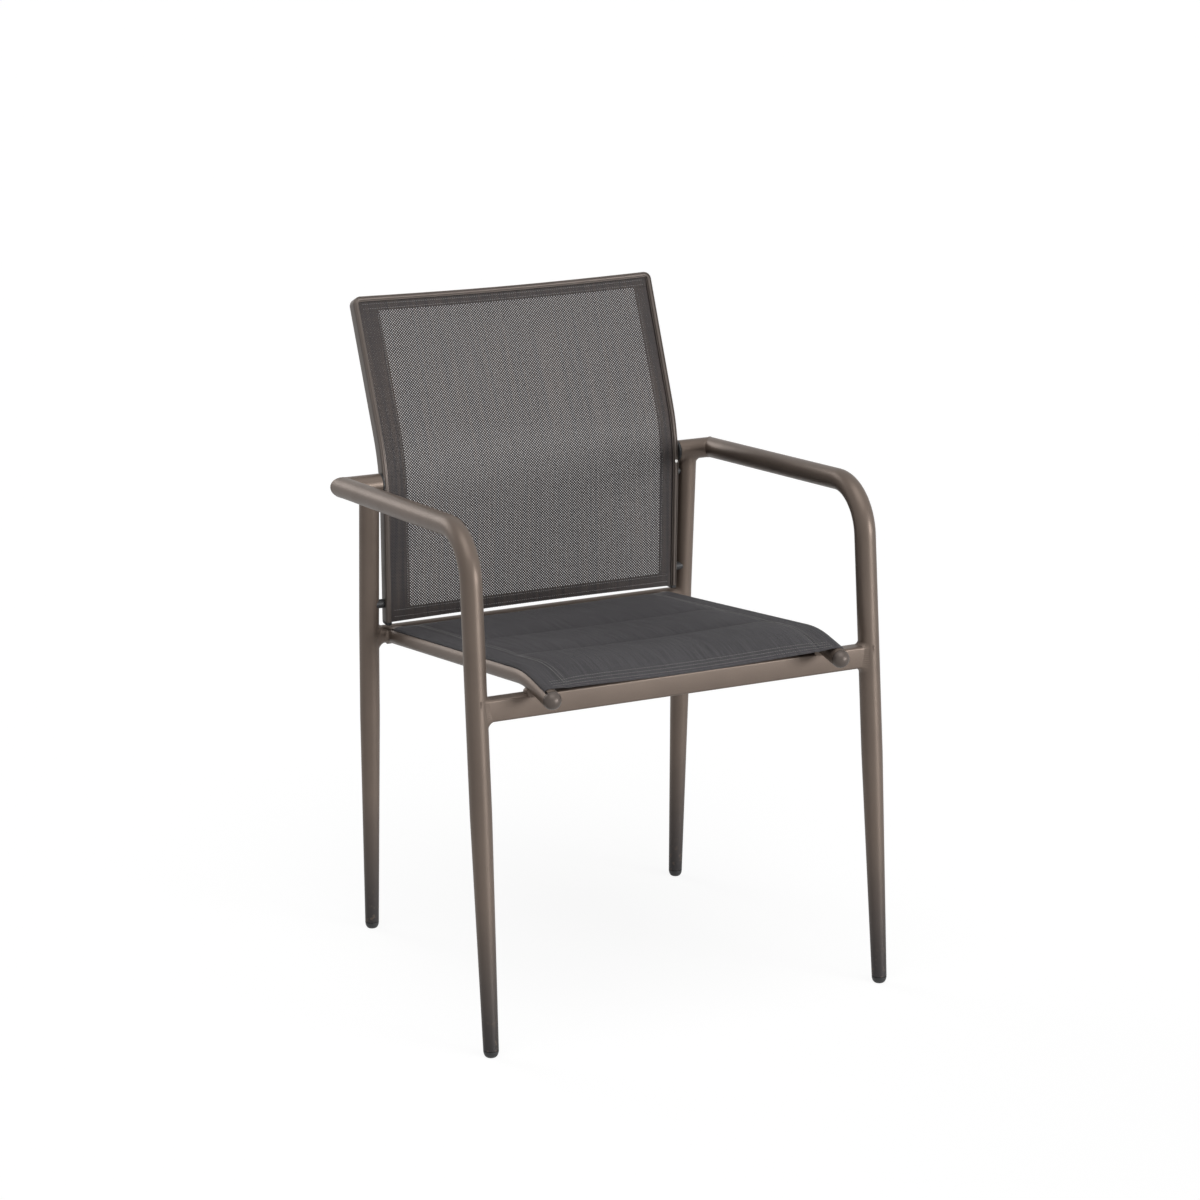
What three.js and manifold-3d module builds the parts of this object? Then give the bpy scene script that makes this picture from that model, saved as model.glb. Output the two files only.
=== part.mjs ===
// A stacking patio armchair: a welded aluminium tube frame, a padded sling seat and a mesh sling back.
// Millimetres, +Z up. The sitter faces -Y. Left and right are as seen by someone who faces the chair.
// Depths are measured backwards from the front feet, and spans are between tube axes.
import * as THREE from "three";
import { mergeVertices } from "three/addons/utils/BufferGeometryUtils.js";
import Module from "manifold-3d";

const wasm = await Module();
wasm.setup();

// Clearances and fineness
const meetGap = 0.3; // left open where one piece meets another
const cutOverrun = 5; // how far a cutting body runs past the wall it cuts
const weldTolerance = 0.0001; // vertices closer than this are one vertex
const parallelShare = 0.0001; // of a unit direction: closer to world X than this is along it
const tubeSides = 20;
const smallSides = 12;
const bendSteps = 6;

// Rear legs, which carry the back frame and set the width of the chair
const legTubeDiameter = 26.4;
const rearFootDiameter = 18.4;
const rearLegSpan = 467; // at the bend
const rearFootInset = 1.1; // each foot stands this far inside the bend
const rearTopSplay = 0.7;
const rearFootDepth = 491.5;
const rearLegLean = 19.1; // forwards, from the foot to the bend
const rearTopLean = 13.9; // forwards, from the bend to the arm
const rearBendRise = 13.4; // above the rear crossbar
const rearBendRadius = 200;
const taperHeight = 305; // every leg narrows evenly from here down

// Arm and front leg, bent from one tube on each side
const armTubeDiameter = 27.4;
const tubeWall = 1.5;
const frontFootDiameter = 19.2;
const armOverhang = 35.1; // from the top of a rear leg out to the rear end of the arm
const armSplay = 3.4; // each arm runs outwards by this much from rear to front
const frontLegSplay = 4.1;
const frontLegLean = 50.3; // backwards, between the floor and the arm
const armFrontHeight = 652.6; // where the axes of leg and arm would cross
const armFall = 28.1; // from front to rear
const armBendRadius = 64;

// Foot glides, moulded plugs with a domed sole
const glideHeight = 9;
const glideFlatDiameter = 9;
const glideStemLength = 14;
const glideStemClearance = 1.6;
const domeSteps = 4;

// Crossbars
const frontBarHeight = 28.5;
const frontBarDepth = 20;
const frontBarCorner = 3;
const frontBarBottom = 420.2;
const rearBarDiameter = 24;
const rearBarHeight = 416.6;

// Seat rails: round extrusions with a slot that holds the edge of the seat sling
const seatRailDiameter = 23;
const seatRailInset = 34; // inside the axis of each rear leg
const seatRailRearDrop = 2.6; // below the axis of the rear crossbar
const seatCrestDepth = 44.1; // where the rail turns down towards the front
const seatCrestClearance = 5.3; // between the crossbar and the corner of the rail's underside
const seatCrestRadius = 158;
const seatNoseReach = 65.1; // forwards from the crest
const seatNoseDrop = 12.5;
const slotAngle = THREE.MathUtils.degToRad(36); // outboard from the top of the rail
const seatSlotWidth = 2.6;
const seatPocketDiameter = 5.4;
const seatPocketSetback = 4.3; // pocket centre below the surface of the rail
const seatPocketFloor = 2.7; // between the pocket and the bore
const seatRailWall = 1.7; // outside the bore
const capCollar = 1.2;
const capStemLength = 12;

// Weld saddles that carry the seat rails on the front crossbar and lap over its front edge
const saddleBottomWidth = 24;
const saddleTopWidth = 22;
const saddleLap = 1.6;
const saddleRearReach = 5; // behind the middle of the crossbar
const saddleDrop = 4.5;
const saddleCheekRise = 5;

// Seat sling: a top cloth, three foam pads and an under cloth, sewn together along two channels
const seatClothThickness = 1.2;
const underClothThickness = 1;
const seatRearMargin = 22.4; // bare rail in front of the bend of the rear legs
const seatFrontMargin = 7; // bare rail between the front hem and the cap
const channelDepths = [269, 127];
const seatSagRear = 1;
const seatSagFront = 4;
const padCrownAbove = 7;
const padCrownBelow = 3;
const padMargin = 17.5; // from a rail's axis to where the foam has thinned out to nothing
const padInset = 8; // from a seam to the edge of the foam
const padRowCounts = [5, 4, 10];
const padColumns = 12;
const wrapSteps = 2;

// Back frame: a thin flat profile, open below, that stands upright to the arms and leans back above them
const backLegClearance = 5.3; // between each rear leg and the bottom of the frame
const backFlare = 3.5; // each side runs outwards by this much from bottom to top
const backFaceWidth = 7;
const backRailDepth = 18;
const backBarClearance = 3; // above the rear crossbar
const backBottomAdvance = 18.9; // in front of the bend of the rear legs
const backBendRise = 22; // above the rear end of the arms
const backBendAdvance = 10.7; // in front of the rear end of the arms
const backBendRadius = 220;
const backUpperHeight = 213.5; // from the bend to the top
const backLean = 89.7; // backwards, from the bend to the top
const backCornerRadius = 10;
const topRailBow = 3; // how far the top rail hangs down at its middle
const backEdgeRound = 1;
const backSlotWidth = 1.6;
const backPocketDiameter = 4.2;
const backSlotSetback = 4.5; // middle of the slot behind the front face
const grooveSetback = 3.2;
const grooveWidth = 1.4;
const grooveDepth = 0.8;
const frameColumns = 12;

const backCapHeight = 4.5;
const backCapPegLength = 7;
const capHeightShares = [0, 0.07, 0.3, 0.6, 1];
const capWidthShares = [0.55, 0.8, 0.96, 1, 1];

// Back sling
const backHemRise = 5.9; // its lower edge hangs free, above the ends of the side rails
const backClothThickness = 0.9;
const backColumns = 8;
const cornerRows = 3;
const upperRows = 3;

// Fasteners between the back frame and the rear legs
const upperBoltDrop = 28.5; // below the rear end of the arms
const lowerBoltRise = 29.4; // above the bottom of the frame
const backBoltSetback = 11.5; // bolt axis behind the front face of the frame
const backBoltDiameter = 6;
const backBoltHeadDiameter = 10;
const backBoltHeadHeight = 3;
const spacerDiameter = 12;
const insertDiameter = 8.6;
const insertLength = 9;
const plugFlange = 2.6;
const plugStemLength = 12;
const faceScrewDrop = 12.5; // below the rear end of the arms
const faceScrewDiameter = 3;
const faceScrewHeadDiameter = 4.6;
const faceScrewHeadHeight = 1;
const faceScrewLength = 2.2;

// Sizes that follow from those above
const rearFootSpan = rearLegSpan - 2 * rearFootInset;
const rearTopSpan = rearLegSpan + 2 * rearTopSplay;
const armRearSpan = rearTopSpan + 2 * armOverhang;
const armFrontSpan = armRearSpan + 2 * armSplay;
const frontFootSpan = armFrontSpan + 2 * frontLegSplay;
const seatRailSpan = rearLegSpan - 2 * seatRailInset;
const padHalfWidth = seatRailSpan / 2 - padMargin;
const backBottomWidth = rearLegSpan - legTubeDiameter - 2 * backLegClearance;
const backTopWidth = backBottomWidth + 2 * backFlare;

const rearBendDepth = rearFootDepth - rearLegLean;
const armRearDepth = rearBendDepth - rearTopLean;
const seatRearDepth = rearBendDepth - seatRearMargin;
const seatRailEndDepth = seatCrestDepth - seatNoseReach;
const backBottomDepth = rearBendDepth - backBottomAdvance;
const backBendDepth = armRearDepth - backBendAdvance;
const backTopDepth = backBendDepth + backLean;

const frontBarTop = frontBarBottom + frontBarHeight;
const rearBendHeight = rearBarHeight + rearBendRise;
const armRearHeight = armFrontHeight - armFall;
const seatRailRearHeight = rearBarHeight - seatRailRearDrop;
const seatCrestHeight = frontBarTop + seatCrestClearance + seatRailDiameter / 2;
const seatRailEndHeight = seatCrestHeight - seatNoseDrop;
const backBottomHeight = rearBarHeight + rearBarDiameter / 2 + backBarClearance;
const backBendHeight = armRearHeight + backBendRise;
const overallHeight = backBendHeight + backUpperHeight;
const upperBoltHeight = armRearHeight - upperBoltDrop;
const lowerBoltHeight = backBottomHeight + lowerBoltRise;
const faceScrewHeight = armRearHeight - faceScrewDrop;

const seatPocketDepth = seatPocketSetback + seatPocketDiameter / 2;
const seatBoreDiameter = seatRailDiameter - seatPocketDepth - seatPocketFloor - seatRailWall;
const seatBoreOffset = seatRailDiameter / 2 - seatRailWall - seatBoreDiameter / 2;

const right = new THREE.Vector3(1, 0, 0);
const upward = new THREE.Vector3(0, 0, 1);

const finishes = {
  frame: finish(0x6d6157, 0.42, 0.65),
  plastic: finish(0x2b2a2a, 0.6, 0),
  seatCloth: finish(0x45454a, 0.85, 0),
  backCloth: finish(0x6a6462, 0.8, 0),
  foam: finish(0xb9b6ad, 0.95, 0),
  steel: finish(0xb4b4b2, 0.3, 0.9),
};

function finish(color, roughness, metalness) {
  return new THREE.MeshStandardMaterial({ color, roughness, metalness });
}

// Solids

function solidOf(geometry) {
  const bare = geometry.clone();
  bare.deleteAttribute("normal");
  bare.deleteAttribute("uv");
  const merged = mergeVertices(bare, weldTolerance);
  return new wasm.Manifold(
    new wasm.Mesh({
      numProp: 3,
      vertProperties: merged.attributes.position.array,
      triVerts: new Uint32Array(merged.index.array),
    }),
  );
}

function geometryOf(solid) {
  const { vertProperties, triVerts } = solid.getMesh();
  const geometry = new THREE.BufferGeometry();
  geometry.setAttribute("position", new THREE.BufferAttribute(vertProperties, 3));
  geometry.setIndex(new THREE.BufferAttribute(triVerts, 1));
  return geometry;
}

function cut(geometry, ...tools) {
  return geometryOf(tools.reduce((left, tool) => left.subtract(solidOf(tool)), solidOf(geometry)));
}

function join(geometry, ...others) {
  return geometryOf(others.reduce((whole, other) => whole.add(solidOf(other)), solidOf(geometry)));
}

// A profile is a flat outline, anticlockwise, with holes that run clockwise.
function circle(radius, sides, centre = new THREE.Vector2(), start = 0) {
  return Array.from({ length: sides }, (_, i) => {
    const angle = start + (i / sides) * 2 * Math.PI;
    return new THREE.Vector2(Math.cos(angle), Math.sin(angle)).multiplyScalar(radius).add(centre);
  });
}

function tubeProfile(diameter) {
  const hole = circle(diameter / 2 - tubeWall, tubeSides).reverse();
  return { outline: circle(diameter / 2, tubeSides), holes: [hole] };
}

function rodProfile(diameter, sides = tubeSides) {
  return { outline: circle(diameter / 2, sides), holes: [] };
}

// Carries a profile through a row of stations and closes both ends. A station is a function that gives
// the place of a profile point, and the profile's two axes and the way forward are right-handed.
function sweep(profile, stations) {
  const loops = [profile.outline, ...profile.holes];
  const points = loops.flat();
  const places = stations.flatMap((station) => points.map((point) => station(point)));
  const index = [];
  for (let row = 0; row + 1 < stations.length; row++) {
    let start = row * points.length;
    for (const loop of loops) {
      for (let i = 0; i < loop.length; i++) {
        const a = start + i;
        const b = start + ((i + 1) % loop.length);
        index.push(a, b, b + points.length, a, b + points.length, a + points.length);
      }
      start += loop.length;
    }
  }
  const last = (stations.length - 1) * points.length;
  for (const [a, b, c] of THREE.ShapeUtils.triangulateShape(profile.outline, profile.holes)) {
    index.push(a, c, b, last + a, last + b, last + c);
  }
  return new THREE.BufferGeometry().setFromPoints(places).setIndex(index);
}

// A station square to a direction, with its first axis as near to world X as it can be.
function squareStation({ point, direction, scale = 1 }) {
  const first = right.clone().addScaledVector(direction, -right.dot(direction));
  if (first.length() < parallelShare) first.copy(upward);
  first.normalize();
  const second = direction.clone().cross(first);
  return (p) =>
    point
      .clone()
      .addScaledVector(first, p.x * scale)
      .addScaledVector(second, p.y * scale);
}

function straight(from, to) {
  const direction = to.clone().sub(from).normalize();
  return [from, to].map((point) => squareStation({ point, direction }));
}

// A rod from one place to another that runs past both ends, for cutting holes and seats.
function cuttingRod(from, to, diameter, overrun = cutOverrun) {
  const direction = to.clone().sub(from).normalize();
  const start = from.clone().addScaledVector(direction, -overrun);
  const end = to.clone().addScaledVector(direction, overrun);
  return sweep(rodProfile(diameter), straight(start, end));
}

// The points and directions of a path through corners, each rounded to its own radius.
function roundedPath(corners, radii) {
  const path = [];
  corners.forEach((corner, i) => {
    const before = corners[Math.max(i - 1, 0)];
    const after = corners[Math.min(i + 1, corners.length - 1)];
    const inward = corner.clone().sub(before).normalize();
    const outward = after.clone().sub(corner).normalize();
    if (!radii[i]) {
      const direction = inward.clone().add(outward).normalize();
      path.push({ point: corner.clone(), direction });
      return;
    }
    const turn = inward.angleTo(outward);
    const normal = outward.clone().addScaledVector(inward, -outward.dot(inward)).normalize();
    const start = corner.clone().addScaledVector(inward, -radii[i] * Math.tan(turn / 2));
    for (let step = 0; step <= bendSteps; step++) {
      const angle = (step / bendSteps) * turn;
      const point = start
        .clone()
        .addScaledVector(inward, radii[i] * Math.sin(angle))
        .addScaledVector(normal, radii[i] * (1 - Math.cos(angle)));
      const direction = inward
        .clone()
        .multiplyScalar(Math.cos(angle))
        .addScaledVector(normal, Math.sin(angle));
      path.push({ point, direction });
    }
  });
  return path;
}

// A turned piece round the Z axis from pairs of radius and height, which start and end on the axis.
function turned(pairs, sides) {
  const points = pairs.map(([radius, height]) => new THREE.Vector2(radius, height));
  return new THREE.LatheGeometry(points, sides).rotateX(Math.PI / 2);
}

// Heights along a leg

const frontFoot = new THREE.Vector3(frontFootSpan / 2, 0, 0);
const armFront = new THREE.Vector3(armFrontSpan / 2, frontLegLean, armFrontHeight);
const armRear = new THREE.Vector3(armRearSpan / 2, armRearDepth, armRearHeight);
const rearFoot = new THREE.Vector3(rearFootSpan / 2, rearFootDepth, 0);
const rearBend = new THREE.Vector3(rearLegSpan / 2, rearBendDepth, rearBendHeight);
const rearTop = new THREE.Vector3(rearTopSpan / 2, armRearDepth, armRearHeight);

function atHeight(from, to, height) {
  return from.clone().lerp(to, (height - from.z) / (to.z - from.z));
}

function taperScale(height, footDiameter, tubeDiameter) {
  const footScale = footDiameter / tubeDiameter;
  return THREE.MathUtils.lerp(footScale, 1, Math.min(height / taperHeight, 1));
}

// Legs and arms

function armMitre(gap) {
  const armWay = armRear.clone().sub(armFront).normalize();
  const returnWay = right.clone().negate();
  const normal = armWay.clone().add(returnWay).normalize();
  const point = armRear.clone().addScaledVector(normal, gap);
  return { normal, point, armWay, returnWay };
}

// A station cut along a plane instead of square to its tube.
function mitredStation(centre, direction, plane) {
  const square = squareStation({ point: centre, direction });
  return (p) => {
    const place = square(p);
    const reach = plane.point.clone().sub(place).dot(plane.normal) / direction.dot(plane.normal);
    return place.addScaledVector(direction, reach);
  };
}

function legStation({ point, direction }, footDiameter, tubeDiameter) {
  const scale = taperScale(point.z, footDiameter, tubeDiameter);
  return squareStation({ point, direction, scale });
}

function armLegTube() {
  const foot = atHeight(frontFoot, armFront, glideHeight + meetGap);
  const taperTop = atHeight(frontFoot, armFront, taperHeight);
  const path = roundedPath([foot, taperTop, armFront, armRear], [0, 0, armBendRadius, 0]);
  path[0].direction = upward;
  const stations = path.slice(0, -1).map((step) => legStation(step, frontFootDiameter, armTubeDiameter));
  const mitre = armMitre(-meetGap / 2);
  stations.push(mitredStation(armRear, mitre.armWay, mitre));
  return sweep(tubeProfile(armTubeDiameter), stations);
}

function returnEndX() {
  return backHalfWidthAt(armRearHeight) + plugFlange + 2 * meetGap;
}

function armReturn() {
  const mitre = armMitre(meetGap / 2);
  const end = new THREE.Vector3(returnEndX(), armRear.y, armRear.z);
  const stations = [
    mitredStation(armRear, mitre.returnWay, mitre),
    squareStation({ point: end, direction: mitre.returnWay }),
  ];
  return sweep(tubeProfile(armTubeDiameter), stations);
}

function armPlug() {
  const flangeRadius = armTubeDiameter / 2;
  const stemRadius = flangeRadius - tubeWall - meetGap;
  const plug = turned(
    [
      [0, 0],
      [flangeRadius, 0],
      [flangeRadius, plugFlange],
      [stemRadius, plugFlange],
      [stemRadius, plugFlange + plugStemLength],
      [0, plugFlange + plugStemLength],
    ],
    tubeSides,
  );
  plug.rotateY(Math.PI / 2);
  plug.translate(returnEndX() - plugFlange - meetGap, armRear.y, armRear.z);
  return plug;
}

function rearLeg() {
  const foot = atHeight(rearFoot, rearBend, glideHeight + meetGap);
  const taperTop = atHeight(rearFoot, rearBend, taperHeight);
  const path = roundedPath([foot, taperTop, rearBend, rearTop], [0, 0, rearBendRadius, 0]);
  path[0].direction = upward;
  const leg = sweep(
    tubeProfile(legTubeDiameter),
    path.map((step) => legStation(step, rearFootDiameter, legTubeDiameter)),
  );
  const seat = cuttingRod(
    rearTop.clone().addScaledVector(right, -legTubeDiameter),
    rearTop.clone().addScaledVector(right, legTubeDiameter),
    armTubeDiameter + 2 * meetGap,
  );
  const holes = [upperBoltHeight, lowerBoltHeight].map((height) => {
    const from = new THREE.Vector3(backHalfWidthAt(height), boltDepthAt(height), height);
    const to = from.clone().setX(rearTop.x);
    return cuttingRod(from, to, insertDiameter + 2 * meetGap, 0);
  });
  return cut(leg, seat, ...holes);
}

function footGlide(axisPoint, footDiameter, tubeDiameter) {
  const scale = taperScale(glideHeight, footDiameter, tubeDiameter);
  const soleRadius = (tubeDiameter / 2) * scale;
  const stemRadius = soleRadius - tubeWall * scale - glideStemClearance;
  const flatRadius = glideFlatDiameter / 2;
  const dome = Array.from({ length: domeSteps + 1 }, (_, i) => {
    const angle = (i / domeSteps) * (Math.PI / 2);
    return [
      THREE.MathUtils.lerp(flatRadius, soleRadius, Math.sin(angle)),
      glideHeight * (1 - Math.cos(angle)),
    ];
  });
  const top = glideHeight + glideStemLength;
  const glide = turned([[0, 0], ...dome, [stemRadius, glideHeight], [stemRadius, top], [0, top]], tubeSides);
  return glide.translate(axisPoint.x, axisPoint.y, 0);
}

// Crossbars

function frontBarMiddle() {
  return atHeight(frontFoot, armFront, frontBarBottom + frontBarHeight / 2);
}

function rounded(width, height, radius, steps) {
  const corners = [
    [1, 1],
    [-1, 1],
    [-1, -1],
    [1, -1],
  ];
  return corners.flatMap(([across, along], quarter) =>
    Array.from({ length: steps + 1 }, (_, i) => {
      const angle = (quarter + i / steps) * (Math.PI / 2);
      return new THREE.Vector2(
        across * (width / 2 - radius) + radius * Math.cos(angle),
        along * (height / 2 - radius) + radius * Math.sin(angle),
      );
    }),
  );
}

function frontCrossbar() {
  const middle = frontBarMiddle();
  const innerCorner = frontBarCorner - tubeWall;
  const hole = rounded(frontBarHeight - 2 * tubeWall, frontBarDepth - 2 * tubeWall, innerCorner, 2);
  const profile = {
    outline: crossbarProfile(0),
    holes: [hole.reverse()],
  };
  const bar = sweep(profile, straight(middle.clone().setX(-middle.x), middle));
  const seats = [1, -1].map((side) => {
    const mirror = new THREE.Vector3(side, 1, 1);
    const from = atHeight(frontFoot, armFront, taperHeight).multiply(mirror);
    const to = atHeight(frontFoot, armFront, armFrontHeight - armBendRadius).multiply(mirror);
    return cuttingRod(from, to, armTubeDiameter + 2 * meetGap);
  });
  return cut(bar, ...seats);
}

function rearBarMiddle() {
  return atHeight(rearFoot, rearBend, rearBarHeight);
}

function rearCrossbar() {
  const middle = rearBarMiddle();
  const bar = sweep(tubeProfile(rearBarDiameter), straight(middle.clone().setX(-middle.x), middle));
  const seats = [1, -1].map((side) => {
    const mirror = new THREE.Vector3(side, 1, 1);
    const from = atHeight(rearFoot, rearBend, taperHeight).multiply(mirror);
    const to = rearBend.clone().multiply(mirror);
    return cuttingRod(from, to, legTubeDiameter + 2 * meetGap);
  });
  return cut(bar, ...seats);
}

// Seat rails

function seatRailCorners() {
  return [
    new THREE.Vector3(0, rearBarMiddle().y, seatRailRearHeight),
    new THREE.Vector3(0, seatCrestDepth, seatCrestHeight),
    new THREE.Vector3(0, seatRailEndDepth, seatRailEndHeight),
  ];
}

// The axis of a seat rail in the plane of symmetry: its place, way forward and way up at any depth.
function seatLineAt(depth) {
  const path = seatRailPath();
  let i = 0;
  while (i + 2 < path.length && path[i + 1].point.y > depth) i++;
  const share = (path[i].point.y - depth) / (path[i].point.y - path[i + 1].point.y);
  const point = path[i].point.clone().lerp(path[i + 1].point, share);
  const direction = path[i].direction.clone().lerp(path[i + 1].direction, THREE.MathUtils.clamp(share, 0, 1));
  direction.normalize();
  const normal = new THREE.Vector3(0, direction.z, -direction.y);
  return { point, direction, normal };
}

// A place beside the seat line: across the chair, and above the axis of the rails.
function seatPlace(across, above, depth) {
  const { point, normal } = seatLineAt(depth);
  return point.setX(across).addScaledVector(normal, above);
}

function seatSlotWay() {
  return new THREE.Vector2(Math.sin(slotAngle), Math.cos(slotAngle));
}

function seatRailPath() {
  return roundedPath(seatRailCorners(), [0, seatCrestRadius, 0]);
}

// A round section with a slot, a pocket behind the slot for the cord, and a bore that lightens it.
function seatRailProfile() {
  const radius = seatRailDiameter / 2;
  const pocketRadius = seatPocketDiameter / 2;
  const middle = Math.PI / 2 - slotAngle;
  const mouth = Math.asin(seatSlotWidth / 2 / radius);
  const neck = Math.asin(seatSlotWidth / 2 / pocketRadius);
  const pocketCentre = seatSlotWay().multiplyScalar(radius - seatPocketSetback);
  const arc = (arcRadius, centre, from, to, steps) =>
    Array.from({ length: steps + 1 }, (_, i) => {
      const angle = THREE.MathUtils.lerp(from, to, i / steps);
      return new THREE.Vector2(Math.cos(angle), Math.sin(angle)).multiplyScalar(arcRadius).add(centre);
    });
  const outer = arc(radius, new THREE.Vector2(), middle + mouth, middle - mouth + 2 * Math.PI, tubeSides);
  const pocketSteps = smallSides / 2 + 2;
  const pocket = arc(pocketRadius, pocketCentre, middle - neck, middle + neck - 2 * Math.PI, pocketSteps);
  const boreCentre = seatSlotWay().multiplyScalar(-seatBoreOffset);
  const bore = circle(seatBoreDiameter / 2, smallSides, boreCentre).reverse();
  return { outline: [...outer, ...pocket], holes: [bore] };
}

function seatRailStations(path) {
  return path.map(({ point, direction }) => {
    const normal = new THREE.Vector3(0, direction.z, -direction.y);
    return (p) => new THREE.Vector3(seatRailSpan / 2 + p.x, point.y, point.z).addScaledVector(normal, p.y);
  });
}

function seatRail() {
  const rail = sweep(seatRailProfile(), seatRailStations(seatRailPath()));
  const bar = rearBarMiddle();
  const seat = cuttingRod(bar.clone().setX(0), bar, rearBarDiameter + 2 * meetGap);
  return cut(rail, seat);
}

// The domed cap's stem sits in the bore, which lies off the rail's axis.
function seatRailCap() {
  const end = seatLineAt(seatRailEndDepth);
  const radius = seatRailDiameter / 2;
  const dome = Array.from({ length: domeSteps }, (_, i) => {
    const angle = (i / domeSteps) * (Math.PI / 2);
    return [radius * Math.cos(angle), capCollar + radius * Math.sin(angle)];
  });
  const head = turned([[0, 0], [radius, 0], ...dome, [0, capCollar + radius]], tubeSides);
  const stemRadius = seatBoreDiameter / 2 - meetGap;
  const stem = turned(
    [
      [0, -capStemLength],
      [stemRadius, -capStemLength],
      [stemRadius, capCollar],
      [0, capCollar],
    ],
    smallSides,
  );
  const bore = seatSlotWay().multiplyScalar(-seatBoreOffset);
  const turn = new THREE.Matrix4().makeBasis(right, end.normal, end.direction);
  stem.translate(bore.x, bore.y, 0);
  const cap = join(head, stem).applyMatrix4(turn);
  const place = end.point.clone().addScaledVector(end.direction, meetGap).setX(seatRailSpan / 2);
  return cap.translate(place.x, place.y, place.z);
}

function seatSpline() {
  const path = seatRailPath();
  const centre = seatSlotWay().multiplyScalar(seatRailDiameter / 2 - seatPocketSetback);
  const outline = circle(seatPocketDiameter / 2 - meetGap, smallSides / 2, centre);
  path[0] = seatLineAt(seatRearDepth);
  return sweep({ outline, holes: [] }, seatRailStations(path));
}

// Weld saddles

function crossbarProfile(gap) {
  const height = frontBarHeight + 2 * gap;
  const depth = frontBarDepth + 2 * gap;
  return rounded(height, depth, frontBarCorner + gap, 2);
}

// Weld metal under a seat rail: a wedge across the top of the crossbar, hollowed for the rail.
function railSaddle() {
  const middle = frontBarMiddle();
  const rail = seatLineAt(middle.y);
  const low = frontBarTop - saddleDrop;
  const high = rail.point.z - seatRailDiameter / 2 + saddleCheekRise;
  const ends = [saddleRearReach, -frontBarDepth / 2 - saddleLap];
  const wedge = [
    new THREE.Vector2(-saddleBottomWidth / 2, low),
    new THREE.Vector2(saddleBottomWidth / 2, low),
    new THREE.Vector2(saddleTopWidth / 2, high),
    new THREE.Vector2(-saddleTopWidth / 2, high),
  ];
  const stations = ends.map((end) => (p) => new THREE.Vector3(seatRailSpan / 2 + p.x, middle.y + end, p.y));
  const body = sweep({ outline: wedge, holes: [] }, stations);
  const cradle = sweep(rodProfile(seatRailDiameter + 2 * meetGap), seatRailStations(seatRailPath()));
  const bar = sweep(
    { outline: crossbarProfile(meetGap), holes: [] },
    straight(middle.clone().setX(-middle.x), middle),
  );
  return cut(body, bar, cradle);
}

function buttonBolt(headDiameter, headHeight, shankDiameter, length) {
  const head = headDiameter / 2;
  const shank = shankDiameter / 2;
  const crownShares = [1, 0.85, 0.5];
  return turned(
    [
      [0, -length],
      [shank, -length],
      [shank, 0],
      [head, 0],
      ...crownShares.map((share) => [head * share, headHeight * Math.sqrt(1 - (share * share) / 2)]),
      [0, headHeight],
    ],
    smallSides,
  );
}

function ringSolid(outerDiameter, innerDiameter, length) {
  const hole = circle(innerDiameter / 2, smallSides).reverse();
  const profile = { outline: circle(outerDiameter / 2, smallSides), holes: [hole] };
  return sweep(profile, straight(new THREE.Vector3(), new THREE.Vector3(0, 0, length)));
}

// Seat sling

// How far the pads stand up between the channels, from 0 on a seam to 1 in the middle of a bay.
function swell(across, depth) {
  const seams = seamDepths();
  const bay = seams.findIndex((seam, i) => i > 0 && depth >= seam);
  const share = (depth - seams[bay]) / (seams[bay - 1] - seams[bay]);
  const along = 1 - (2 * share - 1) ** 4;
  const sideways = 1 - Math.min(Math.abs(across) / padHalfWidth, 1) ** 6;
  return along * sideways;
}

function seatFrontDepth() {
  return seatRailEndDepth + seatFrontMargin;
}

function seamDepths() {
  return [seatRearDepth, ...channelDepths, seatFrontDepth()];
}

// The rows of one pad, from its rear edge to its front edge.
function padRows(bay) {
  const seams = seamDepths();
  const count = padRowCounts[bay];
  return Array.from({ length: count + 1 }, (_, i) =>
    THREE.MathUtils.lerp(seams[bay] - padInset, seams[bay + 1] + padInset, i / count),
  );
}

// Both cloths share the rows and columns of the pads, so that they lie evenly on the foam.
function seatRows() {
  return seamDepths().flatMap((seam, bay) => (bay < padRowCounts.length ? [seam, ...padRows(bay)] : [seam]));
}

function padAcross() {
  const half = padHalfWidth - padInset;
  return Array.from({ length: padColumns + 1 }, (_, i) => THREE.MathUtils.lerp(-half, half, i / padColumns));
}

// The level where the two cloths are sewn together, above the axis of the rails.
function sewnLevel(across, depth) {
  const outward = Math.min(Math.abs(across) / (seatRailSpan / 2), 1);
  const forward = (seatRearDepth - depth) / (seatRearDepth - seatFrontDepth());
  const sag = THREE.MathUtils.lerp(seatSagRear, seatSagFront, forward);
  return seatRailDiameter / 2 + meetGap - sag * (1 - outward * outward) ** 2;
}

// A closed sheet between two grids of places that share their rows and columns.
function sheet(rows, columns, upper, lower) {
  const grid = rows.flatMap((row) => columns.map((column) => [column, row]));
  const places = [upper, lower].flatMap((face) => grid.map(([column, row]) => face(column, row)));
  const wide = columns.length;
  const under = rows.length * wide;
  const index = [];
  for (let row = 0; row + 1 < rows.length; row++) {
    for (let column = 0; column + 1 < wide; column++) {
      const a = row * wide + column;
      const b = a + 1;
      const c = a + wide;
      index.push(a, c, b, b, c, c + 1);
      index.push(under + a, under + b, under + c, under + b, under + c + 1, under + c);
    }
  }
  const edge = [];
  for (let column = 0; column < wide - 1; column++) edge.push(column);
  for (let row = 0; row < rows.length - 1; row++) edge.push(row * wide + wide - 1);
  for (let column = wide - 1; column > 0; column--) edge.push((rows.length - 1) * wide + column);
  for (let row = rows.length - 1; row > 0; row--) edge.push(row * wide);
  edge.forEach((a, i) => {
    const b = edge[(i + 1) % edge.length];
    index.push(a, b, under + a, b, under + b, under + a);
  });
  return new THREE.BufferGeometry().setFromPoints(places).setIndex(index);
}

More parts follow.
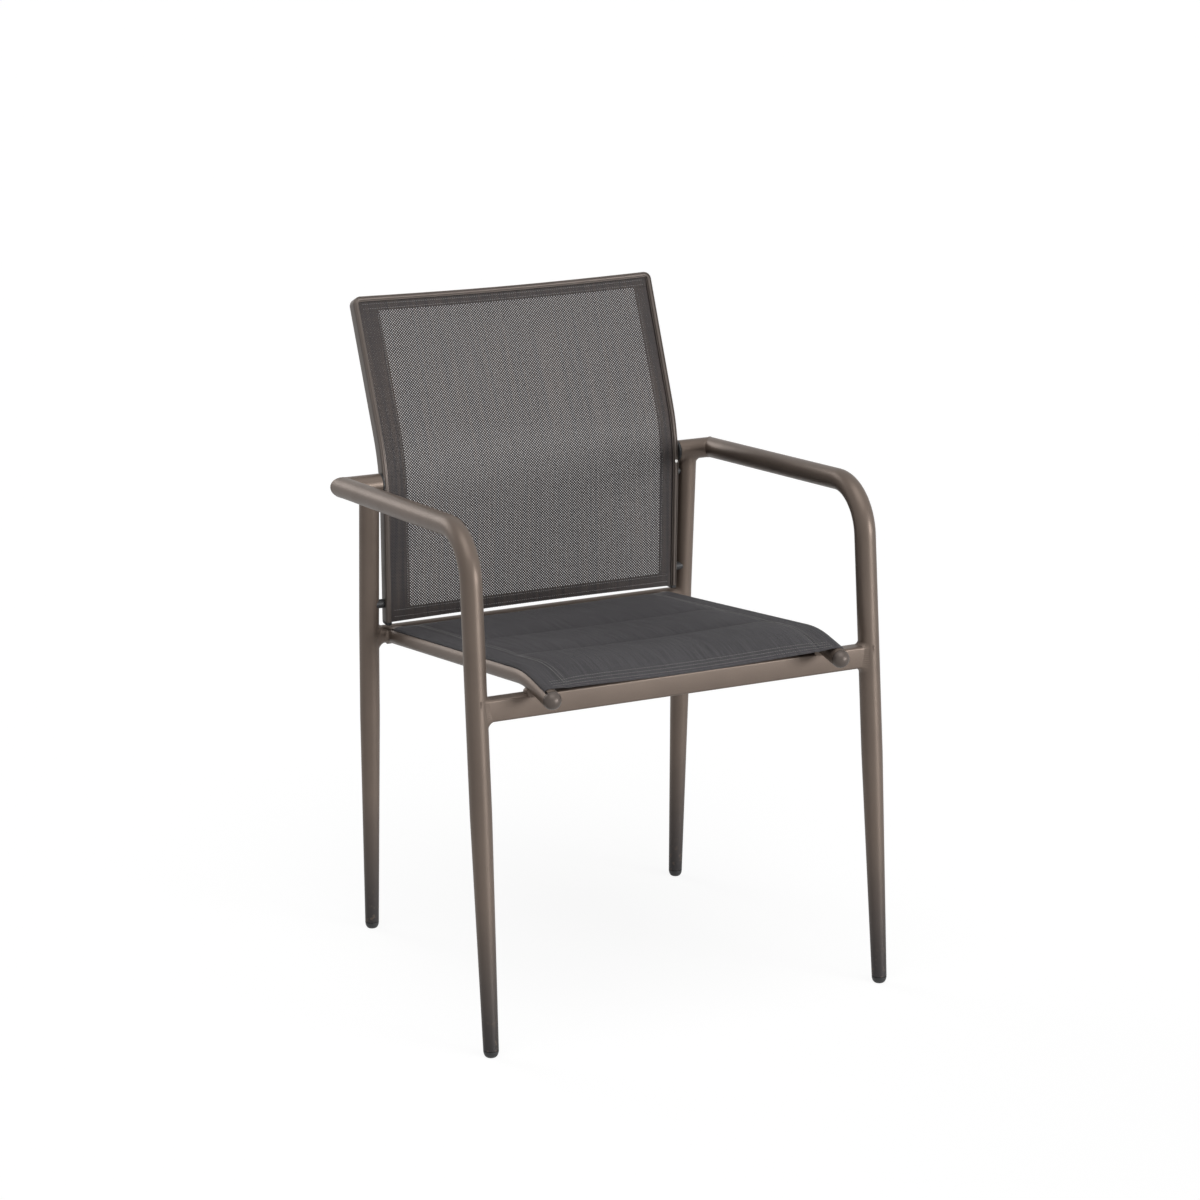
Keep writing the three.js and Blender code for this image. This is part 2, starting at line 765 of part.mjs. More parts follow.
// Columns of the top cloth: straight across between the rails, then round each rail to its slot.
function topClothColumns() {
  const half = seatRailSpan / 2;
  const wraps = Array.from({ length: wrapSteps + 1 }, (_, i) => (i / wrapSteps) * slotAngle);
  return [
    ...wraps.map((wrap) => ({ across: -half, wrap: -wrap })).reverse(),
    { across: -padHalfWidth, wrap: 0 },
    ...padAcross().map((across) => ({ across, wrap: 0 })),
    { across: padHalfWidth, wrap: 0 },
    ...wraps.map((wrap) => ({ across: half, wrap })),
  ];
}

function topClothLevel(across, depth) {
  return sewnLevel(across, depth) + padCrownAbove * swell(across, depth);
}

function topClothPlace({ across, wrap }, depth, lift) {
  if (wrap) {
    const reach = seatRailDiameter / 2 + meetGap + lift;
    return seatPlace(across + reach * Math.sin(wrap), reach * Math.cos(wrap), depth);
  }
  return seatPlace(across, topClothLevel(across, depth) + lift, depth);
}

function seatSlingTop() {
  return sheet(
    seatRows(),
    topClothColumns(),
    (column, depth) => topClothPlace(column, depth, seatClothThickness),
    (column, depth) => topClothPlace(column, depth, 0),
  );
}

function underClothLevel(across, depth) {
  return sewnLevel(across, depth) - meetGap - padCrownBelow * swell(across, depth);
}

function seatSlingUnder() {
  const half = seatRailSpan / 2 - seatRailDiameter / 2 - meetGap;
  return sheet(
    seatRows(),
    [-half, ...padAcross(), half],
    (across, depth) => seatPlace(across, underClothLevel(across, depth), depth),
    (across, depth) => seatPlace(across, underClothLevel(across, depth) - underClothThickness, depth),
  );
}

function seatPad(bay) {
  return sheet(
    padRows(bay),
    padAcross(),
    (across, depth) => seatPlace(across, topClothLevel(across, depth) - meetGap, depth),
    (across, depth) => seatPlace(across, underClothLevel(across, depth) + meetGap, depth),
  );
}

// Back frame

function backCorners() {
  return [
    new THREE.Vector3(0, backBottomDepth, backBottomHeight),
    new THREE.Vector3(0, backBendDepth, backBendHeight),
    new THREE.Vector3(0, backTopDepth, overallHeight),
  ];
}

function backPath() {
  const path = roundedPath(backCorners(), [0, backBendRadius, 0]);
  let length = 0;
  path.forEach((step, i) => {
    if (i) length += step.point.distanceTo(path[i - 1].point);
    step.length = length;
  });
  return path;
}

const backLine = backPath();
const backLength = backLine[backLine.length - 1].length;

// The front face line of the back frame at a length measured up from its bottom edge.
function backLineAt(length) {
  let i = 0;
  while (i + 2 < backLine.length && backLine[i + 1].length < length) i++;
  const share = (length - backLine[i].length) / (backLine[i + 1].length - backLine[i].length);
  const point = backLine[i].point.clone().lerp(backLine[i + 1].point, share);
  const turnShare = THREE.MathUtils.clamp(share, 0, 1);
  const direction = backLine[i].direction.clone().lerp(backLine[i + 1].direction, turnShare).normalize();
  const normal = new THREE.Vector3(0, direction.z, -direction.y);
  return { point, normal };
}

function widthScale(length) {
  return THREE.MathUtils.lerp(1, backTopWidth / backBottomWidth, length / backLength);
}

// A place on the back frame: across, up along its face, and behind that face. Across is measured on
// the bottom edge, and the frame widens upwards. The top edge hangs down by its bow.
function backPlace(across, length, behind) {
  const bow = topRailBow * Math.cos((across / backBottomWidth) * Math.PI) * (length / backLength) ** 8;
  const { point, normal } = backLineAt(length - bow);
  return point.setX(across * widthScale(length)).addScaledVector(normal, behind);
}

function backLengthAt(height) {
  const low = backLine[0];
  const high = backLine[1];
  return (height - low.point.z) / ((high.point.z - low.point.z) / high.length);
}

function backHalfWidthAt(height) {
  return (backBottomWidth / 2) * widthScale(backLengthAt(height));
}

function boltDepthAt(height) {
  return backPlace(0, backLengthAt(height), backBoltSetback).y;
}

// The frame's section: first axis inwards from the outer edge, second axis backwards from the face.
function backProfile() {
  const v = (x, y) => new THREE.Vector2(x, y);
  const pocketRadius = backPocketDiameter / 2;
  const pocketMiddle = v(backFaceWidth / 2, backSlotSetback);
  const neck = Math.asin(backSlotWidth / 2 / pocketRadius);
  const pocketSteps = smallSides / 2;
  const pocket = Array.from({ length: pocketSteps + 1 }, (_, i) => {
    const angle = THREE.MathUtils.lerp(-neck, neck - 2 * Math.PI, i / pocketSteps);
    return v(Math.cos(angle), Math.sin(angle)).multiplyScalar(pocketRadius).add(pocketMiddle);
  });
  const outline = [
    v(backEdgeRound, 0),
    v(backFaceWidth - backEdgeRound, 0),
    v(backFaceWidth, backEdgeRound),
    v(backFaceWidth, backSlotSetback - backSlotWidth / 2),
    ...pocket,
    v(backFaceWidth, backSlotSetback + backSlotWidth / 2),
    v(backFaceWidth, backRailDepth - backEdgeRound),
    v(backFaceWidth - backEdgeRound, backRailDepth),
    v(backEdgeRound, backRailDepth),
    v(0, backRailDepth - backEdgeRound),
    v(0, grooveSetback + grooveWidth / 2),
    v(grooveDepth, grooveSetback),
    v(0, grooveSetback - grooveWidth / 2),
    v(0, backEdgeRound),
  ];
  return { outline, holes: [] };
}

// A station on the frame's outer edge, where the way inwards lies in the frame's own face.
function frameStation(across, length, inAcross, inLength) {
  return (p) => backPlace(across + p.x * inAcross, length + p.x * inLength, p.y);
}

// Lengths up the frame between two ends: every step of its bend, and a few more above it.
function lengthsBetween(first, last) {
  const bends = backLine.map((step) => step.length).filter((length) => length > first && length < last);
  const upper = bends[bends.length - 1];
  const extra = Array.from({ length: upperRows }, (_, i) =>
    THREE.MathUtils.lerp(upper, last, (i + 1) / (upperRows + 1)),
  );
  return [first, ...bends, ...extra, last];
}

function sideStations(start) {
  const lengths = lengthsBetween(start, backLength - backCornerRadius - meetGap).reverse();
  return lengths.map((length) => frameStation(backBottomWidth / 2, length, -1, 0));
}

function backBoltPlace(height) {
  return new THREE.Vector3(backHalfWidthAt(height), boltDepthAt(height), height);
}

function faceScrewPlace() {
  const length = backLengthAt(faceScrewHeight);
  return backPlace((backBottomWidth - backFaceWidth) / 2, length, 0);
}

function backSideRail() {
  const rail = sweep(backProfile(), sideStations(backCapHeight + meetGap));
  const holes = [upperBoltHeight, lowerBoltHeight].map((height) => {
    const outer = backBoltPlace(height);
    const inner = outer.clone().setX(outer.x - backFaceWidth);
    return cuttingRod(inner, outer, backBoltDiameter + 2 * meetGap);
  });
  const screw = faceScrewPlace();
  const screwEnd = screw.clone().setY(screw.y + faceScrewLength);
  return cut(rail, ...holes, cuttingRod(screw, screwEnd, faceScrewDiameter + 2 * meetGap, meetGap));
}

// The top rail with its two rounded corners, from left to right.
function backTopRail() {
  const half = backBottomWidth / 2 - backCornerRadius;
  const stations = [];
  const corner = (side, from) => {
    for (let step = 0; step <= bendSteps / 2; step++) {
      const angle = from - (step / (bendSteps / 2)) * (Math.PI / 2);
      const across = side * half + backCornerRadius * Math.cos(angle);
      const length = backLength - backCornerRadius + backCornerRadius * Math.sin(angle);
      stations.push(frameStation(across, length, -Math.cos(angle), -Math.sin(angle)));
    }
  };
  corner(-1, Math.PI);
  for (let i = 1; i < frameColumns; i++) {
    stations.push(frameStation(((2 * i) / frameColumns - 1) * half, backLength, 0, -1));
  }
  corner(1, Math.PI / 2);
  return sweep(backProfile(), stations);
}

// A plug with a rounded sole that closes a side rail, with a peg up the rail's pocket.
function backRailCap() {
  const full = rounded(backFaceWidth, backRailDepth, backEdgeRound, 1);
  const centre = new THREE.Vector2(backFaceWidth / 2, backRailDepth / 2);
  const half = backBottomWidth / 2;
  const stations = capHeightShares.map((share, i) => {
    const place = frameStation(half, backCapHeight * share, -1, 0);
    return (p) => place(p.clone().multiplyScalar(capWidthShares[i]).add(centre));
  });
  const body = sweep({ outline: full, holes: [] }, stations.reverse());
  const pegStations = [backCapPegLength, 0].map((rise) => {
    const place = frameStation(half, backCapHeight * capHeightShares[2] + rise, -1, 0);
    return (p) => place(p);
  });
  return join(body, sweep(splineOutline(), pegStations));
}

function splineOutline() {
  const centre = new THREE.Vector2(backFaceWidth / 2, backSlotSetback);
  return { outline: circle(backPocketDiameter / 2 - meetGap, smallSides / 2, centre), holes: [] };
}

function backSideSpline() {
  return sweep(splineOutline(), sideStations(backCapHeight + backCapPegLength));
}

function backTopSpline() {
  const reach = backBottomWidth / 2 - 2 * backCornerRadius;
  const stations = Array.from({ length: frameColumns + 1 }, (_, i) =>
    frameStation(((2 * i) / frameColumns - 1) * reach, backLength, 0, -1),
  );
  return sweep(splineOutline(), stations);
}

// Back sling: its top and sides run into the slots of the frame and stop just short of the cords.
function backSling() {
  const edgeInset = backFaceWidth / 2 + backPocketDiameter / 2;
  const round = backCornerRadius - edgeInset;
  const high = backLength - edgeInset;
  const half = backBottomWidth / 2 - edgeInset;
  const corner = Array.from({ length: cornerRows }, (_, i) => {
    const angle = (i / cornerRows) * (Math.PI / 2);
    return high - round * (1 - Math.cos(angle));
  });
  const rows = [...lengthsBetween(backHemRise, high - round), ...corner.reverse()];
  const halfAt = (length) => half - round + Math.sqrt(round ** 2 - Math.max(length - high + round, 0) ** 2);
  const columns = Array.from({ length: backColumns + 1 }, (_, i) => (2 * i) / backColumns - 1);
  const front = backSlotSetback - backClothThickness / 2;
  return sheet(
    rows,
    columns,
    (share, length) => backPlace(share * halfAt(length), length, front + backClothThickness),
    (share, length) => backPlace(share * halfAt(length), length, front),
  );
}

// Fasteners of the back frame

function legAxisAt(height) {
  return atHeight(rearBend, rearTop, height);
}

function legSeatCut(height) {
  const below = legAxisAt(height - spacerDiameter);
  const above = legAxisAt(height + spacerDiameter);
  return cuttingRod(below, above, legTubeDiameter + 2 * meetGap);
}

// A collar that is flat against the frame and hollowed to fit the round leg.
function backSpacer(height) {
  const place = backBoltPlace(height);
  const length = legAxisAt(height).x - place.x - meetGap;
  const collar = ringSolid(spacerDiameter, insertDiameter + 2 * meetGap, length).rotateY(Math.PI / 2);
  collar.translate(place.x + meetGap, place.y, place.z);
  return cut(collar, legSeatCut(height));
}

function backBolt(height) {
  const place = backBoltPlace(height);
  const length = backFaceWidth + meetGap + (legAxisAt(height).x - place.x);
  const bolt = buttonBolt(backBoltHeadDiameter, backBoltHeadHeight, backBoltDiameter, length);
  bolt.rotateY(-Math.PI / 2);
  return bolt.translate(place.x - backFaceWidth - meetGap, place.y, place.z);
}

// A threaded insert that is pressed into the leg and takes the bolt.
function legInsert(height) {
  const start = backHalfWidthAt(height) + 2 * meetGap;
  const insert = ringSolid(insertDiameter, backBoltDiameter + 2 * meetGap, insertLength).rotateY(Math.PI / 2);
  return insert.translate(start, boltDepthAt(height), height);
}

function faceScrew() {
  const place = faceScrewPlace();
  const screw = buttonBolt(faceScrewHeadDiameter, faceScrewHeadHeight, faceScrewDiameter, faceScrewLength);
  screw.rotateX(Math.PI / 2);
  return screw.translate(place.x, place.y - meetGap, place.z);
}

// Assembly

const chair = new THREE.Group();

function add(name, geometry, material) {
  const mesh = new THREE.Mesh(geometry, material);
  mesh.name = name;
  chair.add(mesh);
  return mesh;
}

// The same piece on the right and, mirrored, on the left.
function addPair(name, geometry, material) {
  add(name + "_right", geometry, material);
  add(name + "_left", geometry, material).scale.x = -1;
}

addPair("arm_leg_tube", armLegTube(), finishes.frame);
addPair("arm_return_tube", armReturn(), finishes.frame);
addPair("arm_end_plug", armPlug(), finishes.plastic);
addPair("rear_leg", rearLeg(), finishes.frame);
const frontSole = atHeight(frontFoot, armFront, glideHeight);
const rearSole = atHeight(rearFoot, rearBend, glideHeight);
addPair("front_foot_glide", footGlide(frontSole, frontFootDiameter, armTubeDiameter), finishes.plastic);
addPair("rear_foot_glide", footGlide(rearSole, rearFootDiameter, legTubeDiameter), finishes.plastic);
add("front_crossbar", frontCrossbar(), finishes.frame);
add("rear_crossbar", rearCrossbar(), finishes.frame);

addPair("seat_rail", seatRail(), finishes.frame);
addPair("seat_rail_cap", seatRailCap(), finishes.frame);
addPair("seat_spline", seatSpline(), finishes.plastic);
addPair("rail_saddle", railSaddle(), finishes.frame);
add("seat_sling_top", seatSlingTop(), finishes.seatCloth);
["rear", "middle", "front"].forEach((bay, i) => add("seat_pad_" + bay, seatPad(i), finishes.foam));
add("seat_sling_under", seatSlingUnder(), finishes.seatCloth);

addPair("back_side_rail", backSideRail(), finishes.frame);
add("back_top_rail", backTopRail(), finishes.frame);
addPair("back_rail_cap", backRailCap(), finishes.plastic);
add("back_sling", backSling(), finishes.backCloth);
addPair("back_side_spline", backSideSpline(), finishes.plastic);
add("back_top_spline", backTopSpline(), finishes.plastic);

for (const [level, height] of [
  ["upper", upperBoltHeight],
  ["lower", lowerBoltHeight],
]) {
  addPair(level + "_back_spacer", backSpacer(height), finishes.plastic);
  addPair(level + "_back_bolt", backBolt(height), finishes.steel);
  addPair(level + "_leg_insert", legInsert(height), finishes.steel);
}
addPair("back_face_screw", faceScrew(), finishes.steel);

// The chair stands on the floor with its origin under the middle of its bounding box.
const box = new THREE.Box3().setFromObject(chair);
const middle = box.getCenter(new THREE.Vector3());
chair.position.set(-middle.x, -middle.y, -box.min.z);

const model = new THREE.Group();
model.add(chair);

export default model;
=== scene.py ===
"""Dresses the sling patio chair: smooth tubes, welds, padded seat, mesh back, stitching, finishes.

Metres, +Z up. The sitter faces -Y. The right half is worked out and the left half mirrors it.
"""

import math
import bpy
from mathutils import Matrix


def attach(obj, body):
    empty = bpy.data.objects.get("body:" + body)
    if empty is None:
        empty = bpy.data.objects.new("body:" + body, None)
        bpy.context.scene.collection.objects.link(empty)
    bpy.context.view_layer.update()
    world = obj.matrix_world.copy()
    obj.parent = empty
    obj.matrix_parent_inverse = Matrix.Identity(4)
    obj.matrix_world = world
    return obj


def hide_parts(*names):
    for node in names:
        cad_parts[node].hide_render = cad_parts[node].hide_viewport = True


bl_info = {
    "name": "Sling patio chair",
    "version": (1, 0, 0),
    "blender": (4, 5, 0),
    "location": "3D View > Sidebar > Chair",
    "description": "Builds the visible surfaces of a sling patio chair round its solid frame",
    "category": "Object",
}

import bmesh
import bpy
import numpy as np
from bpy.props import FloatProperty, FloatVectorProperty, IntProperty, PointerProperty
from mathutils import Matrix

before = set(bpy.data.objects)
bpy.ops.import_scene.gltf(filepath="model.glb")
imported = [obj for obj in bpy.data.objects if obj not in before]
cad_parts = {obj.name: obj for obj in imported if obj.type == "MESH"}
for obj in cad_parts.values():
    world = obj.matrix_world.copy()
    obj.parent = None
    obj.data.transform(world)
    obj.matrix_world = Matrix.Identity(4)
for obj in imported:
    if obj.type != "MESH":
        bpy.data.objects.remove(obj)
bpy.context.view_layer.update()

ACROSS, UP = np.array([1.0, 0.0, 0.0]), np.array([0.0, 0.0, 1.0])
TAU = 2 * math.pi

# The chair's main lines: across, back from the front feet, and up.
FEET = -0.25993  # y of the front feet's axis on the floor
FRONT_FOOT = np.array([0.2768, FEET, 0.0])
ARM_FRONT = np.array([0.2727, FEET + 0.0503, 0.6526])
ARM_REAR = np.array([0.2693, FEET + 0.4585, 0.6245])
REAR_FOOT = np.array([0.2324, FEET + 0.4915, 0.0])
REAR_BEND = np.array([0.2335, FEET + 0.4724, 0.43])
REAR_TOP = np.array([0.2342, FEET + 0.4585, 0.6245])
SEAT_CORNERS = [
    (0.0, FEET + 0.472995, 0.414),
    (0.0, FEET + 0.0441, 0.4655),
    (0.0, FEET - 0.021, 0.453),
]
BACK_CORNERS = [
    (0.0, FEET + 0.4535, 0.4316),
    (0.0, FEET + 0.4478, 0.6465),
    (0.0, FEET + 0.5375, 0.86),
]
ARM_BEND, REAR_LEG_BEND, SEAT_BEND, BACK_BEND = 0.064, 0.2, 0.158, 0.22

ARM_RADIUS, LEG_RADIUS = 0.0137, 0.0132
FRONT_FOOT_RADIUS, REAR_FOOT_RADIUS = 0.0096, 0.0092
TAPER_HEIGHT = 0.305
GLIDE_HEIGHT, GLIDE_FLAT, TUBE_START = 0.009, 0.0045, 0.0093
PLUG_FLANGE = 0.0026
FRONT_BAR_SIZE, FRONT_BAR_CORNER, FRONT_BAR_HEIGHT = (0.02, 0.0285), 0.003, 0.43445
REAR_BAR_RADIUS, REAR_BAR_HEIGHT = 0.012, 0.4166
LEG_STEP, LINE_STEP = 0.006, 0.002  # between the rings of a tube, and the places of a line

RAIL_RADIUS, RAIL_X = 0.0115, 0.1995
SLOT_ANGLE, SLOT_WIDTH = math.radians(36), 0.0026
POCKET_RADIUS, POCKET_SETBACK = 0.0027, 0.0043
CAP_COLLAR, PART_GAP = 0.0012, 0.0003

SEAT_REAR, SEAT_FRONT = 0.45, -0.014
CHANNELS = (0.269, 0.127)
SEAMS = (SEAT_REAR, *CHANNELS, SEAT_FRONT)
SAG_REAR, SAG_FRONT = 0.001, 0.004
CROWN_ABOVE, CROWN_BELOW = 0.007, 0.003
PAD_HALF, PAD_INSET = 0.182, 0.008
UNDER_HALF, UNDER_CLOTH = 0.1877, 0.001
SIDE_STITCH, SIDE_STITCH_GAP = 0.1725, 0.0045
HEM_STITCHES, REAR_STITCH = (0.003, 0.009, 0.015), 0.009
FRONT_HEM, REAR_HEM = 0.0165, 0.012

# Angles in degrees from which a fold is shaded as an edge.
CREASE, WELD_CREASE, CLOTH_CREASE, THREAD_CREASE = 35, 60, 60, 80

BACK_WIDTH, BACK_FLARE = 0.43, 0.007
TOP_BOW = 0.003
BACK_FACE, BACK_DEPTH = 0.007, 0.018
BACK_CORNER, BACK_END = 0.01, 0.0048
SLING_SETBACK, SLING_INSET = 0.0045, 0.0056
LAYER_GAP = 0.00012  # between two layers of the mesh
HEM_REACH, TOP_FOLD = 0.2075, 0.0075  # half a hem's width, and the top fold below the frame's top
BOLT_SETBACK, UPPER_BOLT, LOWER_BOLT, FACE_SCREW = 0.0115, 0.596, 0.461, 0.612

# Each lamp's setting, and its turn, lift and spread in degrees.
LAMPS = (("key", 31, 2, 24), ("top", -20, 70, 50), ("rim", -154, 22, 30))
FLOOR_REACH, FLOOR_GREY = 60.0, 0.5


# Sizes and colours that a user would change


def colour_setting(name, description, default):
    """A colour."""
    return FloatVectorProperty(
        name=name, description=description, default=default, subtype="COLOR", min=0, max=1
    )


def length_setting(name, description, default, least=0.0):
    """A length in metres."""
    return FloatProperty(
        name=name, description=description, default=default, min=least, unit="LENGTH"
    )


def share_setting(name, description, default, least=0.0, most=1.0):
    """A share between two limits."""
    return FloatProperty(
        name=name, description=description, default=default, min=least, max=most, subtype="FACTOR"
    )


def angle_setting(name, description, degrees):
    """An angle, given in degrees."""
    return FloatProperty(
        name=name, description=description, default=math.radians(degrees), subtype="ANGLE"
    )


def strength_setting(name, description, default):
    """The strength of a lamp or a force."""
    return FloatProperty(name=name, description=description, default=default, min=0)


class CoatSettings(bpy.types.PropertyGroup):
    """The tubes' powder coat and weld metal."""

    colour: colour_setting("Coat colour", "Colour of the powder coat", (0.165, 0.129, 0.106))
    roughness: share_setting(
        "Coat roughness", "How far the coat scatters what it reflects", 0.4
    )
    peel: length_setting("Orange peel", "Height of the coat's fine unevenness", 0.00006)
    weld: length_setting("Weld size", "How far a weld reaches along each tube", 0.0042, 0.001)
    sides: IntProperty(
        name="Tube sides", description="Faces round each tube", default=64, min=16, max=128
    )


class SeatSettings(bpy.types.PropertyGroup):
    """The padded seat sling."""

    colour: colour_setting("Seat cloth", "Colour of the seat's yarn", (0.127, 0.122, 0.129))
    yarn_pitch: length_setting(
        "Yarn pitch", "Distance between neighbouring yarns of the seat cloth", 0.0012, 0.0004
    )
    cloth: length_setting(
        "Top cloth thickness", "Thickness of the seat's top cloth", 0.0012, 0.0005
    )
    pressure: strength_setting(
        "Padding pressure", "Pressure that blows the simulated padding up", 4.0
    )
    swell_limit: length_setting(
        "Swell limit",
        "How far the simulation may move the padding from its starting shape",
        0.003,
    )
    start_share: share_setting(
        "Starting share",
        "Share of the padding's full height from which the simulation starts",
        0.8,
        0.1,
    )
    hem_drop: length_setting(
        "Hem thickness", "Distance between the hem's two layers at the front edge", 0.0018, 0.001
    )
    stitch_pitch: length_setting(
        "Stitch pitch", "Length of one stitch and its gap", 0.0032, 0.001
    )
    thread: colour_setting("Thread", "Colour of the sewing thread", (0.27, 0.26, 0.25))


class BackSettings(bpy.types.PropertyGroup):
    """The back's mesh sling."""

    colour: colour_setting(
        "Back cloth", "Colour of the back's coated yarn", (0.053, 0.0445, 0.0415)
    )
    yarn_pitch: length_setting(
        "Mesh pitch", "Distance between neighbouring yarns of the mesh", 0.0019, 0.0005
    )
    opening: share_setting(
        "Opening", "Width of a hole in the mesh as a share of its pitch", 0.54, most=0.9
    )
    cloth: length_setting(
        "Mesh thickness", "Thickness of one layer of the mesh", 0.0006, 0.0003
    )
    bow: length_setting(
        "Backward bow", "How far the middle of the sling stands behind its sides", 0.0015
    )
    left_hem: length_setting(
        "Left hem", "Distance from the middle to the left hem's inner edge", 0.1805
    )
    right_hem: length_setting(
        "Right hem", "Distance from the middle to the right hem's inner edge", 0.19
    )
    top_hem: length_setting(
        "Top hem", "Width of the top hem below the frame's outer edge", 0.0195
    )
    low_hem: length_setting(
        "Lower hem",
        "Height of the lower hem's upper edge above the bottom of the frame",
        0.0225,
    )


class StageSettings(bpy.types.PropertyGroup):
    """Camera, lamps and floor."""

    turn: angle_setting(
        "Camera turn", "How far the camera stands to the side of the chair's front", -26.04
    )
    lift: angle_setting("Camera lift", "How steeply the camera looks down", 14.804)
    roll: angle_setting("Camera roll", "How far the camera leans sideways", -0.401)
    distance: length_setting(
        "Camera distance", "Distance from the camera to the point it looks at", 4.375052, 0.1
    )
    target: FloatVectorProperty(
        name="Camera target",
        description="Point that the camera looks at",
        default=(-0.002794, -0.01277, 0.490239),
        unit="LENGTH",
    )
    lens: FloatProperty(
        name="Lens",
        description="Focal length in millimetres, for a sensor 36 mm wide",
        default=101.61,
        min=1,
    )
    key: strength_setting(
        "Key lamp", "Strength of the low main lamp, to the right of the camera", 3.0
    )
    top: strength_setting(
        "Top lamp", "Strength of the broad lamp high above the chair", 1.3
    )
    rim: strength_setting(
        "Rim lamp", "Strength of the lamp behind the chair on the left", 0.8
    )
    ambient: strength_setting(
        "Ambient light", "Strength of the even light from all round", 0.09
    )
    shade: share_setting(
        "Shadow share", "Share of the floor's look that the object's shadow can darken", 0.1
    )


class ChairSettings(bpy.types.PropertyGroup):
    """Everything a user would change."""

    coat: PointerProperty(type=CoatSettings)
    seat: PointerProperty(type=SeatSettings)
    back: PointerProperty(type=BackSettings)
    stage: PointerProperty(type=StageSettings)


# Curves and surfaces


def unit(ways):
    """Ways with a length of one."""
    return ways / np.linalg.norm(ways, axis=-1, keepdims=True)


def run_between(start, end, step):
    """Even places between two ends, without the ends."""
    count = max(int(np.linalg.norm(end - start) / step), 1)
    return start + (end - start) * np.linspace(0, 1, count + 1)[1:-1, None]


def path_through(corners, radii, step):
    """Places along straight runs whose corners are rounded.

    An arc is its start, plus the way in times radius times sin(angle), plus the way to its centre
    times radius times (1 - cos(angle)). It starts radius times tan(turn / 2) before its corner.
    """
    corners = np.array(corners, float)
    parts = [corners[:1]]
    for before, corner, after, radius in zip(corners, corners[1:], corners[2:], radii):
        ahead, onward = unit(corner - before), unit(after - corner)
        turn = math.acos(ahead @ onward)
        inward = unit(onward - ahead * (ahead @ onward))
        start = corner - ahead * radius * math.tan(turn / 2)
        angle = np.linspace(0, turn, max(int(turn * radius / step), 6) + 1)[:, None]
        arc = start + ahead * radius * np.sin(angle) + inward * radius * (1 - np.cos(angle))
        parts += [run_between(parts[-1][-1], arc[0], step), arc]
    parts += [run_between(parts[-1][-1], corners[-1], step), corners[-1:]]
    return np.vstack(parts)


def ways_along(places):
    """The way at each place of a path, halfway between those of the steps before and after it."""
    steps = unit(np.diff(places, axis=0))
    return unit(np.vstack([steps[:1], steps[:-1] + steps[1:], steps[-1:]]))


def lengths_along(places):
    """The distance along a path to each of its places."""
    return np.r_[0, np.cumsum(np.linalg.norm(np.diff(places, axis=0), axis=1))]


def rings(places, ways, side, outline):
    """An outline carried along a path.

    An outline's first number goes along side, made square to the way, and its second along way x
    side.
    """
    side = np.broadcast_to(side, places.shape)
    first = unit(side - ways * np.sum(side * ways, axis=-1, keepdims=True))
    second = np.cross(ways, first)
    return places[:, None] + first[:, None] * outline[..., :1] + second[:, None] * outline[..., 1:]


def round_places(radius, angle):
    """Places on a circle: radius times (cos, sin) of the angles."""
    return radius * np.stack([np.cos(angle), np.sin(angle)], axis=-1)


def circle(radius, sides):
    """Round outlines at even angles. An array of radii gives one for each."""
    angle = np.linspace(0, TAU, sides, endpoint=False)
    return round_places(np.asarray(radius)[..., None, None], angle)


def rounded_box(width, height, radius, steps):
    """A rectangle whose corners are centres plus radius times (cos, sin) of a quarter turn."""
    angle = (np.arange(4)[:, None] + np.linspace(0, 1, steps + 1)) * TAU / 4
    sides = np.array([[1, 1], [-1, 1], [-1, -1], [1, -1]])
    centres = sides * (np.array([width, height]) / 2 - radius)
    return (centres[:, None] + round_places(radius, angle)).reshape(-1, 2)


def evened(outline, count):
    """A closed outline with its points moved to even distances along it."""
    loop = np.vstack([outline, outline[:1]])
    lengths = lengths_along(loop)
    stops = np.linspace(0, lengths[-1], count, endpoint=False)
    return np.stack([np.interp(stops, lengths, part) for part in loop.T], axis=-1)


def grown(outline, amount):
    """A closed outline moved outwards, along the normal of each point's neighbours' chord."""
    chord = unit(np.roll(outline, -1, axis=0) - np.roll(outline, 1, axis=0))
    return outline + np.stack([chord[:, 1], -chord[:, 0]], axis=-1) * np.reshape(amount, (-1, 1))


def capped(grid):
    """A tube of rings closed by a fan at each end, from the middle of its first and last ring."""
    ends = [np.broadcast_to(ring.mean(axis=0), ring.shape)[None] for ring in (grid[0], grid[-1])]
    return np.concatenate([ends[0], grid, ends[1]])


def slab(upper, lower):
    """A closed sheet: rings over the upper face and back under the lower, pinched at the ends."""
    ring = np.concatenate([upper, lower[:, ::-1]], axis=1)
    middle = (upper + lower) / 2
    pinch = np.concatenate([middle, middle[:, ::-1]], axis=1)
    return np.concatenate([pinch[:1], ring, pinch[-1:]])


def slab_pattern(pattern):
    """The pattern places of a slab's rings, the same on both faces."""
    ring = np.concatenate([pattern, pattern[:, ::-1]], axis=1)
    return np.concatenate([ring[:1], ring, ring[-1:]])


def thickened(middle, thickness):
    """Both faces of a sheet: its middle plus and minus half the thickness along its normal."""
    normal = unit(np.cross(np.gradient(middle, axis=1), np.gradient(middle, axis=0)))
    return middle + normal * thickness / 2, middle - normal * thickness / 2


def turned(profile, sides):
    """A form turned round Z: a radius and height become radius times (cos, sin) and height."""
    profile = np.array(profile, float)
    round_z = np.pad(circle(1.0, sides), ((0, 0), (0, 1)))
    return profile[:, None, :1] * round_z + profile[:, None, 1:] * UP


def aimed(grid, place, way, side):
    """A form made round Z, set at a place, its Z along way and its X along side squared to way."""
    way = unit(way)
    first = unit(side - way * (side @ way))
    return place + grid @ np.stack([first, np.cross(way, first), way])


